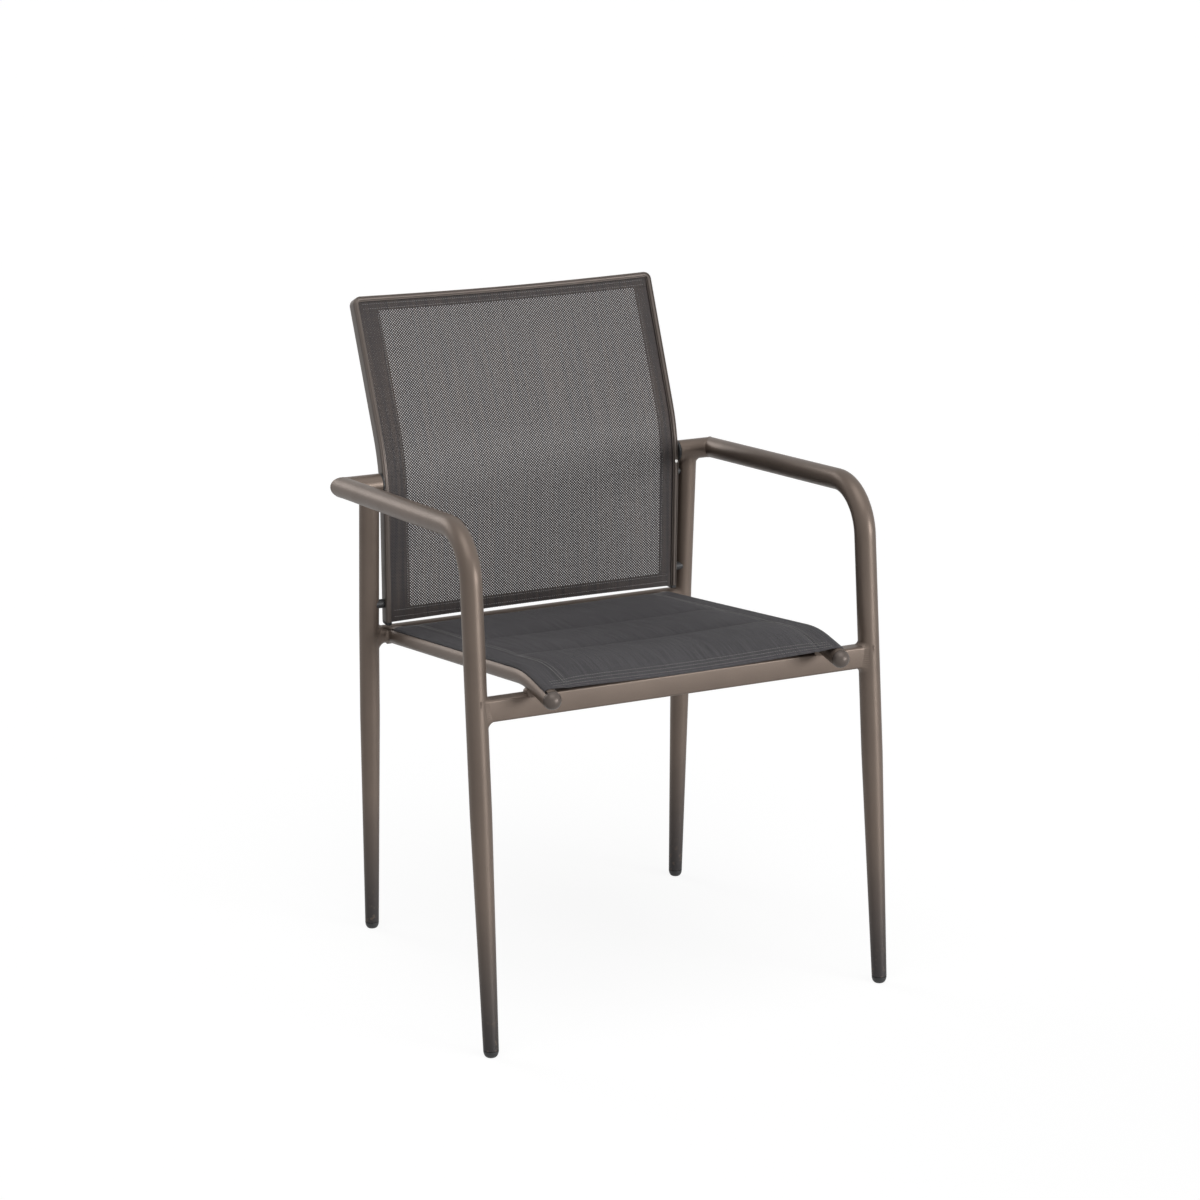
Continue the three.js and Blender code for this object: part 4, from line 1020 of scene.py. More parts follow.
class SLINGCHAIR_OT_welds(bpy.types.Operator):
    """Make the weld beads where the tubes meet, and the saddles that carry the seat rails."""

    bl_idname = "sling_chair.welds"
    bl_label = "Welds"

    def execute(self, context):
        size = context.scene.sling_chair.coat.weld
        front, rear = evened(front_bar_outline(), 200), circle(REAR_BAR_RADIUS, 180)
        leg, rail = circle(LEG_RADIUS, 180), circle(RAIL_RADIUS, 150)
        leg_way = unit(REAR_TOP - REAR_BEND)
        rail_size, mitre_size = size * 0.8, size * 0.7
        front_bound, rear_bound = ARM_RADIUS - 0.0003, LEG_RADIUS - 0.0004
        front_turn, rear_turn = 0.7, 0.6
        rail_end = (RAIL_LINE[0], -SEAT_WAYS[0], REAR_BAR_MIDDLE, REAR_BAR_RADIUS)
        beads = [
            self.bar_weld(front, FRONT_BAR_MIDDLE, at_front_leg, size, front_bound, front_turn),
            self.bar_weld(rear, REAR_BAR_MIDDLE, at_rear_leg, size, rear_bound, rear_turn),
            self.end_weld(leg, REAR_TOP, leg_way, ARM_REAR, ARM_RADIUS, size),
            self.end_weld(rail, *rail_end, rail_size),
            self.mitre_weld(mitre_size),
        ]
        piece("weld_beads", beads + mirrored(beads), "frame", "coat", crease=WELD_CREASE)
        pair("weld_saddle", self.saddle(), "frame", "coat", "rail_saddle")
        return {"FINISHED"}

    def bar_weld(self, outline, middle, meet, size, bound, turn):
        """A crossbar's end, carried across to its leg."""
        place = lambda wide: across_places(wide, middle)
        return weld(outline, place, meet, -ACROSS, size, (0, bound), turn)

    def end_weld(self, outline, end, way, crossed, radius, size):
        """A tube's end, carried along its way to a round tube that runs across."""
        place = lambda wide: rings(end[None], way[None], ACROSS, wide)[0]
        meet = lambda points: meets(points, way, crossed, ACROSS, radius)
        return weld(outline, place, meet, -way, size, (1, radius - PART_GAP))

    def mitre_weld(self, size):
        """A low bead round the mitre, raised along the corner's own way out by (1 - s^2)^0.7."""
        low, ripple, count, sunk_share = 0.00035, 0.0001, 34, 0.93
        ring = rings(ARM_REAR[None], ARM_WAY[None], ACROSS, circle(ARM_RADIUS, 180))[0]
        corner = to_plane(ring, ARM_WAY, ARM_REAR, MITRE_NORMAL)
        outward = unit(corner - ARM_REAR)
        share = np.linspace(-1, 1, 9)[None, :, None]
        flat = corner[:, None] + np.where(share < 0, ARM_WAY, -ACROSS) * share * size
        around = np.linspace(0, TAU, len(corner), endpoint=False)
        height = low + ripple * np.cos(around * count)
        skin = flat + outward[:, None] * height[:, None, None] * (1 - share**2) ** 0.7
        return closed_band(skin, ARM_REAR + (corner - ARM_REAR) * sunk_share)

    def saddle(self):
        """A lump of weld metal: a squared ball with low waves on it.

        Its x is cos(tilt)^0.45 cos(turn)^0.6, its y cos(tilt)^0.45 sin(turn)^0.5 and its z
        sin(tilt)^0.7, each with the sign of its sines, times half its size.
        """
        sunk_in_bar, sunk_in_rail, forward = 0.0045, 0.005, 0.0033
        low = FRONT_BAR_HEIGHT + FRONT_BAR_SIZE[1] / 2 - sunk_in_bar
        rail = seat_place(0.0, 0.0, FRONT_BAR_MIDDLE[1] - FEET)
        high = rail[2] - RAIL_RADIUS + sunk_in_rail
        centre = np.array([RAIL_X, FRONT_BAR_MIDDLE[1] - forward, (low + high) / 2])
        half = np.array([0.0115, 0.0083, (high - low) / 2])
        turn = np.linspace(0, TAU, 48, endpoint=False)[None]
        tilt = np.linspace(-TAU / 4, TAU / 4, 29)[:, None]
        power = lambda value, share: np.sign(value) * np.abs(value) ** share
        wide = power(np.cos(tilt), 0.45)
        ball = [
            wide * power(np.cos(turn), 0.6),
            wide * power(np.sin(turn), 0.5),
            power(np.sin(tilt), 0.7),
        ]
        ball = np.stack(np.broadcast_arrays(*ball), axis=-1)
        waves = 1 + 0.035 * np.sin(turn * 7 + 2 * tilt) * np.cos(tilt) + 0.03 * np.sin(turn * 3 + 1)
        return centre + ball * half * waves[..., None]


class SLINGCHAIR_OT_seat_rails(bpy.types.Operator):
    """Make the seat rails with their slots, and their domed caps."""

    bl_idname = "sling_chair.seat_rails"
    bl_label = "Seat rails"

    def execute(self, context):
        pair("slotted_rail", self.rail(), "frame", "coat", "seat_rail")
        pair("rail_dome", self.dome(), "frame_cap", "cap", "seat_rail_cap")
        refinish("cord", "seat_spline_right", "seat_spline_left")
        return {"FINISHED"}

    def outline(self):
        """A round rail with a slot and the pocket behind it, as across and up from its axis.

        The outer arc runs all the way round from one lip of the slot to the other, and the pocket's
        arc runs back.
        """
        middle = TAU / 4 - SLOT_ANGLE
        mouth = math.asin(SLOT_WIDTH / 2 / RAIL_RADIUS)
        neck = math.asin(SLOT_WIDTH / 2 / POCKET_RADIUS)
        outer = np.linspace(middle + mouth, middle - mouth + TAU, 65)
        inner = np.linspace(middle - neck, middle + neck - TAU, 13)
        pocket = round_places(POCKET_RADIUS, inner)
        pocket += round_places(RAIL_RADIUS - POCKET_SETBACK, middle)
        return np.vstack([round_places(RAIL_RADIUS, outer), pocket])

    def rail(self):
        """The slotted outline carried along the seat's line, coped to the rear crossbar."""
        outline = self.outline()
        every, clear = 3, 0.001
        places = RAIL_LINE[::every]
        if len(RAIL_LINE) % every != 1:
            places = np.vstack([places, RAIL_LINE[-1:]])
        ways = ways_along(places)
        normals = np.cross(ways, ACROSS)
        grid = places[:, None] + outline[:, :1] * ACROSS + outline[:, 1:] * normals[:, None]
        grid[0] = meets(grid[0], -ways[0], REAR_BAR_MIDDLE, ACROSS, REAR_BAR_RADIUS - PART_GAP)
        keep = np.r_[True, np.all(grid[1:, :, 1] < grid[0, :, 1].min() - clear, axis=1)]
        return capped(grid[keep])

    def dome(self):
        """A turned collar and hemisphere with an eased lower rim, out of the rail's front end."""
        rim, inner = 0.0005, 0.00015
        start = [[0, 0], [RAIL_RADIUS - rim, 0], [RAIL_RADIUS - inner, inner], [RAIL_RADIUS, rim]]
        profile = [*start, *quarter(RAIL_RADIUS, RAIL_RADIUS, 20, CAP_COLLAR)]
        place = RAIL_LINE[-1] + SEAT_WAYS[-1] * PART_GAP
        return aimed(turned(profile, 64), place, SEAT_WAYS[-1], ACROSS)


# The seat's padding


def sewn_level(across, depth):
    """Where the two cloths are sewn together: the rails' top less a sag that grows to the front.

    The sag goes across by (1 - s^2)^2, where s is the share of the way to a rail.
    """
    outward = np.minimum(np.abs(across) / RAIL_X, 1)
    forward = (SEAT_REAR - depth) / (SEAT_REAR - SEAT_FRONT)
    sag = SAG_REAR + (SAG_FRONT - SAG_REAR) * forward
    return RAIL_RADIUS + PART_GAP - sag * (1 - outward**2) ** 2


def crown(across, depth):
    """How full the padding is, from 0 on a seam to 1.

    At the share s of the way through a bay it is (1 - (2 s - 1)^4) (1 - (across / half)^6).
    """
    share = np.interp(-depth, [-seam for seam in SEAMS], [0, 1, 2, 3])
    share = np.where(share >= 3, 1.0, share % 1)
    return (1 - (2 * share - 1) ** 4) * (1 - np.minimum(np.abs(across) / PAD_HALF, 1) ** 6)


class Padding:
    """The padding's heights above and below the sewn level, on a grid of depths and widths."""

    ROWS, COLUMNS = (44, 35, 35), 92  # rows in each bay, and columns
    FRAMES = 20
    PULL, PULL_WIDTH = 0.0006, 0.0022  # of the side stitches on the top cloth

    def __init__(self, settings):
        bays = zip(SEAMS, SEAMS[1:], self.ROWS)
        rows = [np.linspace(first, last, count, endpoint=False) for first, last, count in bays]
        self.depths = np.r_[np.concatenate(rows), SEAT_FRONT]
        self.across = np.linspace(-PAD_HALF, PAD_HALF, self.COLUMNS)
        full = crown(self.across[None], self.depths[:, None])
        self.above, self.below = full * CROWN_ABOVE, full * CROWN_BELOW
        self.above, self.below = self.blown_up(full, settings)

    def blown_up(self, full, settings):
        """Both heights after a cloth simulation of the two cloths as a flat pillow.

        Its edges and channels are held, it starts a little small, pressure fills it without
        gravity, and each height is the start plus fullness times limit times tanh(movement / (2
        limit)), with a smaller limit below.
        """
        starts = full * np.array([CROWN_ABOVE, -CROWN_BELOW])[:, None, None] * settings.start_share
        wide, long = np.meshgrid(self.across, self.depths)
        points = np.stack([np.stack([wide, -long, start], axis=-1) for start in starts])
        rows, columns = full.shape
        place = np.arange(rows - 1)[:, None] * columns + np.arange(columns - 1)[None]
        cells = np.stack([place, place + columns, place + columns + 1, place + 1], axis=-1)
        cells = cells.reshape(-1, 4)
        both = np.vstack([cells[:, ::-1], cells + rows * columns])
        mesh = bpy.data.meshes.new("pillow")
        mesh.from_pydata(points.reshape(-1, 3).tolist(), [], both.tolist())
        pillow = bpy.data.objects.new("pillow", mesh)
        bpy.context.scene.collection.objects.link(pillow)
        held = np.flatnonzero((np.concatenate([full, full]) < 1e-9).ravel())
        pillow.vertex_groups.new(name="held").add(held.tolist(), 1.0, "REPLACE")
        self.simulate(pillow, settings.pressure)
        graph = bpy.context.evaluated_depsgraph_get()
        after = np.empty(len(mesh.vertices) * 3)
        pillow.evaluated_get(graph).data.vertices.foreach_get("co", after)
        heights = after.reshape(2, rows, columns, 3)[..., 2]
        bpy.data.objects.remove(pillow)
        bpy.data.meshes.remove(mesh)
        limits = settings.swell_limit * np.array([1, CROWN_BELOW / CROWN_ABOVE])[:, None, None]
        moved = starts + full * limits * np.tanh((heights - starts) / (2 * limits))
        return np.maximum(moved[0], 0), np.maximum(-moved[1], 0)

    def simulate(self, pillow, pressure):
        """Twenty frames of Blender's Cloth with pressure and no gravity."""
        cloth = pillow.modifiers.new("fill", "CLOTH")
        fabric = cloth.settings
        fabric.quality = 6
        fabric.mass = 0.3
        fabric.tension_stiffness = fabric.compression_stiffness = 12
        fabric.bending_stiffness = 1.5
        fabric.vertex_group_mass = "held"
        fabric.shrink_min = -0.006
        fabric.use_pressure = True
        fabric.uniform_pressure_force = pressure
        fabric.effector_weights.gravity = 0
        cloth.collision_settings.use_collision = False
        cloth.point_cache.frame_start, cloth.point_cache.frame_end = 1, self.FRAMES
        for step in range(1, self.FRAMES + 1):
            bpy.context.scene.frame_set(step)
        bpy.context.view_layer.update()

    def at(self, heights, across, depth):
        """A height between the grid's own places, by even shares both ways."""
        across, depth = np.broadcast_arrays(np.clip(across, -PAD_HALF, PAD_HALF), depth)
        row = np.interp(-depth, -self.depths, np.arange(len(self.depths)))
        column = np.interp(across, self.across, np.arange(len(self.across)))
        i = np.minimum(row.astype(int), len(self.depths) - 2)
        j = np.minimum(column.astype(int), len(self.across) - 2)
        down, along = row - i, column - j
        near = heights[i, j] * (1 - along) + heights[i, j + 1] * along
        far = heights[i + 1, j] * (1 - along) + heights[i + 1, j + 1] * along
        return near * (1 - down) + far * down

    def top(self, across, depth):
        """The underside of the top cloth above the rails' axis, drawn in under its side stitches.

        The draw is its depth times exp(-(distance from the stitches / width)^2).
        """
        aside = (np.abs(across) - SIDE_STITCH) / self.PULL_WIDTH
        pull = self.PULL * np.exp(-(aside**2))
        return sewn_level(across, depth) + self.at(self.above, across, depth) - pull

    def under(self, across, depth):
        """The upper side of the under cloth above the rails' axis."""
        return sewn_level(across, depth) - PART_GAP - self.at(self.below, across, depth)


def smooth_step(value, low, high):
    """0 below low, 1 above high, and 3 s^2 - 2 s^3 between."""
    share = np.clip((value - low) / (high - low), 0, 1)
    return share * share * (3 - 2 * share)


def rail_wrap(lift):
    """The cloth's way over a rail and into its slot, as across and up from the rail's axis.

    An arc of the rail's radius plus lift up to the slot, a quarter of a small circle, and a run
    inwards.
    """
    reach, turn, runs = RAIL_RADIUS + PART_GAP + lift, 0.001, (0.0006, 0.0014)
    arc = np.linspace(0, SLOT_ANGLE - turn / reach, 9)[1:]
    over = round_places(reach, TAU / 4 - arc)
    angle = np.linspace(0, TAU / 4, 5)[1:]
    aside = np.r_[-turn + turn * np.sin(angle), 0.0, 0.0]
    inward = reach - turn + np.r_[turn * np.cos(angle), np.negative(runs)]
    slot_way, slot_side = round_places(1.0, TAU / 4 - SLOT_ANGLE), round_places(1.0, -SLOT_ANGLE)
    return np.vstack([over, inward[:, None] * slot_way + aside[:, None] * slot_side])


def hem_rows(edge, back, drop, steps):
    """Depths and drops of a folded hem: half a circle round the edge, then a run back below."""
    radius = drop / 2
    forward = math.copysign(1, back)
    angle = np.linspace(0, math.pi, 11)[1:]
    turn = np.stack([edge - forward * radius * np.sin(angle), radius * (1 - np.cos(angle))], -1)
    run = np.stack([np.linspace(edge, edge + back, steps + 1)[1:], np.full(steps, drop)], -1)
    return np.vstack([turn, run])


class SLINGCHAIR_OT_seat_sling(bpy.types.Operator):
    """Make the seat: foam between two cloths, sewn in channels, with folded hems and stitching."""

    bl_idname = "sling_chair.seat_sling"
    bl_label = "Seat sling"

    def execute(self, context):
        settings = context.scene.sling_chair.seat
        padding = Padding(settings)
        seat, flat = self.top_cloth(padding, settings)
        below, under_flat = self.under_cloth(padding)
        rows = self.stitching(padding, settings)
        seam = piece("seat_stitching", rows, "seat_cloth", "thread", crease=THREAD_CREASE)
        for bay, name in enumerate(("rear", "middle", "front")):
            pad = self.pad(padding, bay)
            made = piece(f"{name}_foam", [pad], "foam", "foam", f"seat_pad_{name}")
        return {"FINISHED"}

    @staticmethod
    def cloth(name, middle, thickness, row, node):
        """A sheet round its middle surface, and its flat size.

        Its pattern is the length across at one row and along the middle column.
        """
        over = lengths_along(middle[row])
        along = lengths_along(middle[:, middle.shape[1] // 2])
        pattern = slab_pattern(np.stack(np.meshgrid(over - over[-1] / 2, along), axis=-1))
        grids = [slab(*thickened(middle, thickness))]
        looks = {"patterns": [pattern], "crease": CLOTH_CREASE}
        made = piece(name, grids, "seat_cloth", "seat", node, **looks)
        return made, (round(float(over[-1]), 3), round(float(along[-1]), 3))

    def top_cloth(self, padding, settings):
        """The top cloth's middle surface from slot to slot and from hem to hem."""
        lift = settings.cloth / 2
        wrap = rail_wrap(lift)
        flat = np.linspace(-RAIL_X, RAIL_X, 131)
        main = np.linspace(SEAT_REAR, SEAT_FRONT, 156)[:, None] * np.array([1.0, 0.0])
        front = hem_rows(SEAT_FRONT, FRONT_HEM, settings.hem_drop, 14)
        rear = hem_rows(SEAT_REAR, -REAR_HEM, settings.hem_drop * 0.7, 10)[::-1]
        rows = np.vstack([rear, main, front])
        depth, drop = rows[:, :1], rows[:, 1:]
        level = padding.top(flat[None], np.clip(depth, SEAT_FRONT, SEAT_REAR)) + lift
        ease = 1 - 0.65 * smooth_step(np.abs(flat), 0.176, 0.19)
        middle = seat_place(flat[None], level - drop * ease[None], depth)
        over, up = wrap.T
        left, right = (
            seat_place(sign * (RAIL_X + over), up - drop * 0.35, depth) for sign in (-1, 1)
        )
        middle = np.concatenate([left[:, ::-1], middle, right], axis=1)
        row = len(rear) + 40
        return self.cloth("padded_seat_cloth", middle, settings.cloth, row, "seat_sling_top")

    def under_cloth(self, padding):
        """A thin sheet below the foam, its edges held between the top cloth's hems."""
        inset = 0.001
        across = np.linspace(-UNDER_HALF, UNDER_HALF, 95)
        depth = np.linspace(SEAT_REAR - inset, SEAT_FRONT + inset, 117)[:, None]
        level = padding.under(across[None], depth) - UNDER_CLOTH / 2
        middle = seat_place(across[None], level, depth)
        return self.cloth("under_seat_cloth", middle, UNDER_CLOTH, 40, "seat_sling_under")

    def pad(self, padding, bay):
        """One crowned pad, just inside both cloths and thinning to its edges."""
        half = PAD_HALF - PAD_INSET
        across = np.linspace(-half, half, 90)[None]
        rear, front = SEAMS[bay] - PAD_INSET, SEAMS[bay + 1] + PAD_INSET
        depth = np.linspace(rear, front, 46)[:, None]
        upper = seat_place(across, padding.top(across, depth) - PART_GAP, depth)
        lower = seat_place(across, padding.under(across, depth) + PART_GAP, depth)
        return slab(upper, lower)

    def stitching(self, padding, settings):
        """Rows of stitches: three in front, one behind, two at each side, one on each channel."""
        half, inset = 0.194, 0.004
        across = np.linspace(-half, half, 400)
        depth = np.linspace(SEAT_REAR - inset, SEAT_FRONT + inset, 400)
        lines = [(across, SEAT_FRONT + behind) for behind in HEM_STITCHES]
        lines.append((across, SEAT_REAR - REAR_STITCH))
        for side in (-1, 1):
            rows = (SIDE_STITCH, SIDE_STITCH + SIDE_STITCH_GAP)
            lines += [(side * place, depth) for place in rows]
        inside = np.linspace(-SIDE_STITCH, SIDE_STITCH, 400)
        lines += [(inside, channel) for channel in CHANNELS]
        grids = []
        for wide, long in lines:
            level = padding.top(wide, long) + settings.cloth
            path = seat_place(wide, level, long)
            up = unit(seat_place(wide, level + 0.001, long) - path)
            grids.append(stitches(path, up, settings.stitch_pitch))
        return grids


def stitches(path, up, pitch):
    """Stitches along a path, each a small arched capsule.

    A capsule's rings have the radius girth times sqrt(1 - s^2) at the share s of its half length,
    and dip into the cloth by s^2.
    """
    girth, half_length = 0.00042, 0.36
    lengths = lengths_along(path)
    middles = (np.arange(int(lengths[-1] / pitch)) + 0.5) * pitch
    at = lambda stops, values: np.stack([np.interp(stops, lengths, part) for part in values.T], -1)
    way = unit(at(middles + pitch / 4, path) - at(middles - pitch / 4, path))
    centre, lifted = at(middles, path), unit(at(middles, up))
    side = np.cross(way, lifted)
    share = np.array([-1.0, -0.8, 0.0, 0.8, 1.0])
    angle = np.linspace(0, TAU, 5, endpoint=False)[:, None]
    radius = girth * np.sqrt(1 - share**2)
    spine = (
        centre[:, None]
        + way[:, None] * (share * pitch * half_length)[:, None]
        + lifted[:, None] * (girth * (0.55 - 1.1 * share**2))[:, None]
    )
    around = side[:, None, None] * np.cos(angle) + lifted[:, None, None] * np.sin(angle)
    return spine[:, :, None] + around * radius[:, None, None]


# The back


def frame_outline():
    """The back frame's section, as inwards from its outer edge and backwards from its face.

    Rounded edges, a groove on the outer side, and on the inner side the slot and its round pocket.
    The face is a low bead, 0.7 mm (1 - s^2) high, between a fine groove and a step down to the
    sling.
    """
    edge, groove_at, groove_half, groove_deep = 0.001, 0.0032, 0.0008, 0.0009
    slot_half, pocket_radius = 0.0008, 0.0021
    bead_at, bead_half, bead_high = 0.0036, 0.0019, 0.0007
    angle = np.linspace(0, TAU / 4, 4)
    arc = lambda x, y, start: np.array([x, y]) + round_places(edge, start + angle)
    neck = math.asin(slot_half / pocket_radius)
    pocket = round_places(pocket_radius, np.linspace(-neck, neck - TAU, 11))
    pocket += np.array([BACK_FACE / 2, SLING_SETBACK])
    groove = np.linspace(1, -1, 7)
    dip = np.stack([groove_deep * (1 - groove**2) ** 0.6, groove_at + groove * groove_half], -1)
    across = np.linspace(-1, 1, 9)
    bead = np.stack([bead_at + bead_half * across, bead_high * across**2], axis=-1)
    parts = [
        [[0.0013, 0.0001], [0.0015, 0.0008]],
        bead,
        [[0.0057, 0.0022], [BACK_FACE - 0.0002, 0.0023]],
        [[BACK_FACE, SLING_SETBACK - slot_half]],
        pocket,
        [[BACK_FACE, SLING_SETBACK + slot_half]],
        arc(BACK_FACE - edge, BACK_DEPTH - edge, 0),
        arc(edge, BACK_DEPTH - edge, TAU / 4),
        dip,
        arc(edge, edge, TAU / 2),
    ]
    return np.vstack(parts)


def frame_round():
    """The back frame's outer edge, from its lower left end round to its lower right.

    Each place has its across, its length and its way in, with the top corners as quarter circles.
    """
    half, inside, shoulder = BACK_WIDTH / 2, BACK_WIDTH / 2 - BACK_CORNER, BACK_LENGTH - BACK_CORNER
    side = np.linspace(BACK_END, shoulder, 76)[:-1]
    top = np.linspace(-inside, inside, 55)[1:-1]
    turn = np.linspace(TAU / 2, TAU / 4, 11)
    corner = np.array([-inside, shoulder]) + round_places(BACK_CORNER, turn)
    bend = np.hstack([corner, round_places(-1.0, turn)])
    up = np.stack(np.broadcast_arrays(-half, side, 1.0, 0.0), axis=-1)
    over = np.stack(np.broadcast_arrays(top, BACK_LENGTH, 0.0, -1.0), axis=-1)
    mirror = np.array([-1, 1, -1, 1])
    return np.vstack([up, bend, over, bend[::-1] * mirror, up[::-1] * mirror])


class SLINGCHAIR_OT_back_frame(bpy.types.Operator):
    """Make the back frame in one sweep, and the plugs that close its lower ends."""

    bl_idname = "sling_chair.back_frame"
    bl_label = "Back frame"

    def execute(self, context):
        across, length, in_across, in_length = frame_round().T[..., None]
        inward, behind = frame_outline().T[:, None]
        grid = back_place(across + inward * in_across, length + inward * in_length, behind)
        rails = ("back_side_rail_right", "back_side_rail_left", "back_top_rail")
        # The swept frame's coat is painted darker and cooler than the tubes': painted shade.
        piece("swept_back_frame", [capped(grid)], "frame", "painted shade back coat", *rails)
        pair("back_foot", self.end_plug(), "plastic", "black", "back_rail_cap")
        refinish("cord", "back_side_spline_right", "back_side_spline_left", "back_top_spline")
        return {"FINISHED"}

    def end_plug(self):
        """The frame's full section, drawn in towards the bottom.

        Its size at the share h of its height is 0.55 + 0.45 (1 - (1 - h)^2.6)^(1 / 2.6).
        """
        corner, rise, low_share, power = 0.0012, 0.0045, 0.55, 2.6
        full = rounded_box(BACK_FACE, BACK_DEPTH, corner, 4)
        height = np.linspace(0, 1, 14)[:, None]
        share = low_share + (1 - low_share) * (1 - (1 - height) ** power) ** (1 / power)
        outline = full * share[..., None] + np.array([BACK_FACE / 2, BACK_DEPTH / 2])
        return capped(back_place(BACK_WIDTH / 2 - outline[..., 0], rise * height, outline[..., 1]))


class SLINGCHAIR_OT_back_sling(bpy.types.Operator):
    """Make the mesh sling, its hems and its stitching."""

    bl_idname = "sling_chair.back_sling"
    bl_label = "Back sling"

    LOW_EDGE, LOW_DIP, LOW_HALF = 0.0059, 0.0017, 0.21  # the lower edge, and its rise to the middle

    def execute(self, context):
        chair = context.scene.sling_chair
        sling, flat = self.sling(chair.back)
        rows = self.stitching(chair.back, chair.seat.stitch_pitch)
        seam = piece("back_stitching", rows, "back_cloth", "thread", crease=THREAD_CREASE)
        return {"FINISHED"}

    def low_edge(self, across):
        """The sling's lower edge, a little higher in the middle than at its sides."""
        return self.LOW_EDGE - self.LOW_DIP * (across / self.LOW_HALF) ** 2

    @staticmethod
    def behind(across, length, settings):
        """The sling's middle behind the face: its setback plus a bow that is 0 along the frame.

        The bow is (1 - s^2) across and (1 - h^6) upwards.
        """
        sideways = 1 - np.minimum(np.abs(across) / (BACK_WIDTH / 2 - BACK_FACE), 1) ** 2
        upwards = 1 - np.clip(length / BACK_LENGTH, 0, 1) ** 6
        return SLING_SETBACK + settings.bow * sideways * upwards

    def layer(self, across, low, high, rows, layers, settings):
        """One layer of mesh between two lengths, which may change across, and its pattern.

        A hem lies one layer behind the sling or before it, with its weave shifted by half a yarn.
        """
        length = low + (high - low) * np.linspace(0, 1, rows)[:, None]
        across, length = np.broadcast_arrays(across[None], length)
        offset = layers * (settings.cloth + LAYER_GAP)
        middle, half = self.behind(across, length, settings) + offset, settings.cloth / 2
        faces = [back_place(across, length, middle + side) for side in (-half, half)]
        wide = across * (1 + BACK_FLARE / BACK_WIDTH * length / BACK_LENGTH)
        shift = settings.yarn_pitch * 0.5 * abs(layers)
        return slab(*faces), slab_pattern(np.stack([wide, length], axis=-1) + shift)

    def sling(self, settings):
        """The sling and four hems: the sides folded behind, the top and bottom folded in front."""
        half, high = BACK_WIDTH / 2 - SLING_INSET, BACK_LENGTH - SLING_INSET
        full = np.linspace(-half, half, 101)
        inside = np.linspace(-HEM_REACH, HEM_REACH, 101)
        left = np.linspace(-half, -settings.left_hem, 12)
        right = np.linspace(settings.right_hem, half, 12)
        top_edge, top_fold = BACK_LENGTH - settings.top_hem, BACK_LENGTH - TOP_FOLD
        inset = 0.0004  # of the side hems' lower ends
        layers = [
            self.layer(full, self.low_edge(full), high, 121, 0, settings),
            self.layer(left, self.low_edge(left) + inset, high, 121, 1, settings),
            self.layer(right, self.low_edge(right) + inset, high, 121, 1, settings),
            self.layer(inside, self.low_edge(inside), settings.low_hem, 9, -1, settings),
            self.layer(inside, top_edge, top_fold, 9, -1, settings),
        ]
        grids, patterns = zip(*layers)
        looks = {"patterns": patterns, "crease": CLOTH_CREASE}
        sling = piece("mesh_back_sling", grids, "back_cloth", "mesh", "back_sling", **looks)
        sides = 2 * half - settings.left_hem - settings.right_hem
        folds = settings.low_hem - self.LOW_EDGE + settings.top_hem - TOP_FOLD
        flat = (round(2 * half + sides, 3), round(high - self.LOW_EDGE + folds, 3))
        return sling, flat

    def stitching(self, settings, pitch):
        """Rows of stitches on the face of the hems."""
        half, inset, edge, wide_edge = 0.2035, 0.004, 0.0025, 0.003
        top, step = BACK_LENGTH - settings.top_hem, settings.cloth + LAYER_GAP
        wide = np.linspace(-half, half, 300)
        long = np.linspace(settings.low_hem + inset, top - inset, 300)
        fold = BACK_LENGTH - TOP_FOLD - wide_edge
        levels = (fold, top + edge, settings.low_hem - edge, settings.low_hem - 0.0115)
        lines = [(wide, level, step) for level in levels]
        lines += [(-settings.left_hem - edge, long, 0.0), (settings.right_hem + edge, long, 0.0)]
        grids = []
        for across, length, ahead in lines:
            front = self.behind(across, length, settings) - ahead - settings.cloth / 2
            path = back_place(across, length, front)
            up = unit(back_place(across, length, front - 0.001) - path)
            grids.append(stitches(path, up, pitch))
        return grids


# Fasteners


def button_head(radius, height, shank, length, sides=48):
    """A turned button head with a six-sided socket, on a plain shank.

    The head is a quarter ellipse. A socket's ring is its radius over cos(angle) within each sixth
    of a turn.
    """
    socket, deep, margin, draft = radius * 0.48, height * 0.62, 1.25, 1.06
    dome = quarter(radius, height, 8)
    dome = dome[dome[:, 0] > socket * margin]
    rim = dome[-1, 1]
    start = [[0, -length], [shank, -length], [shank, 0], [radius, 0]]
    outer = turned([*start, *dome[1:]], sides)
    angle = np.linspace(0, TAU, sides, endpoint=False)
    within = (angle + TAU / 12) % (TAU / 6) - TAU / 12
    inner = turned([[socket, rim], [socket, rim - deep], [0, rim - deep]], sides)
    inner[..., :2] /= np.cos(within)[None, :, None] * draft
    return np.concatenate([outer, inner])


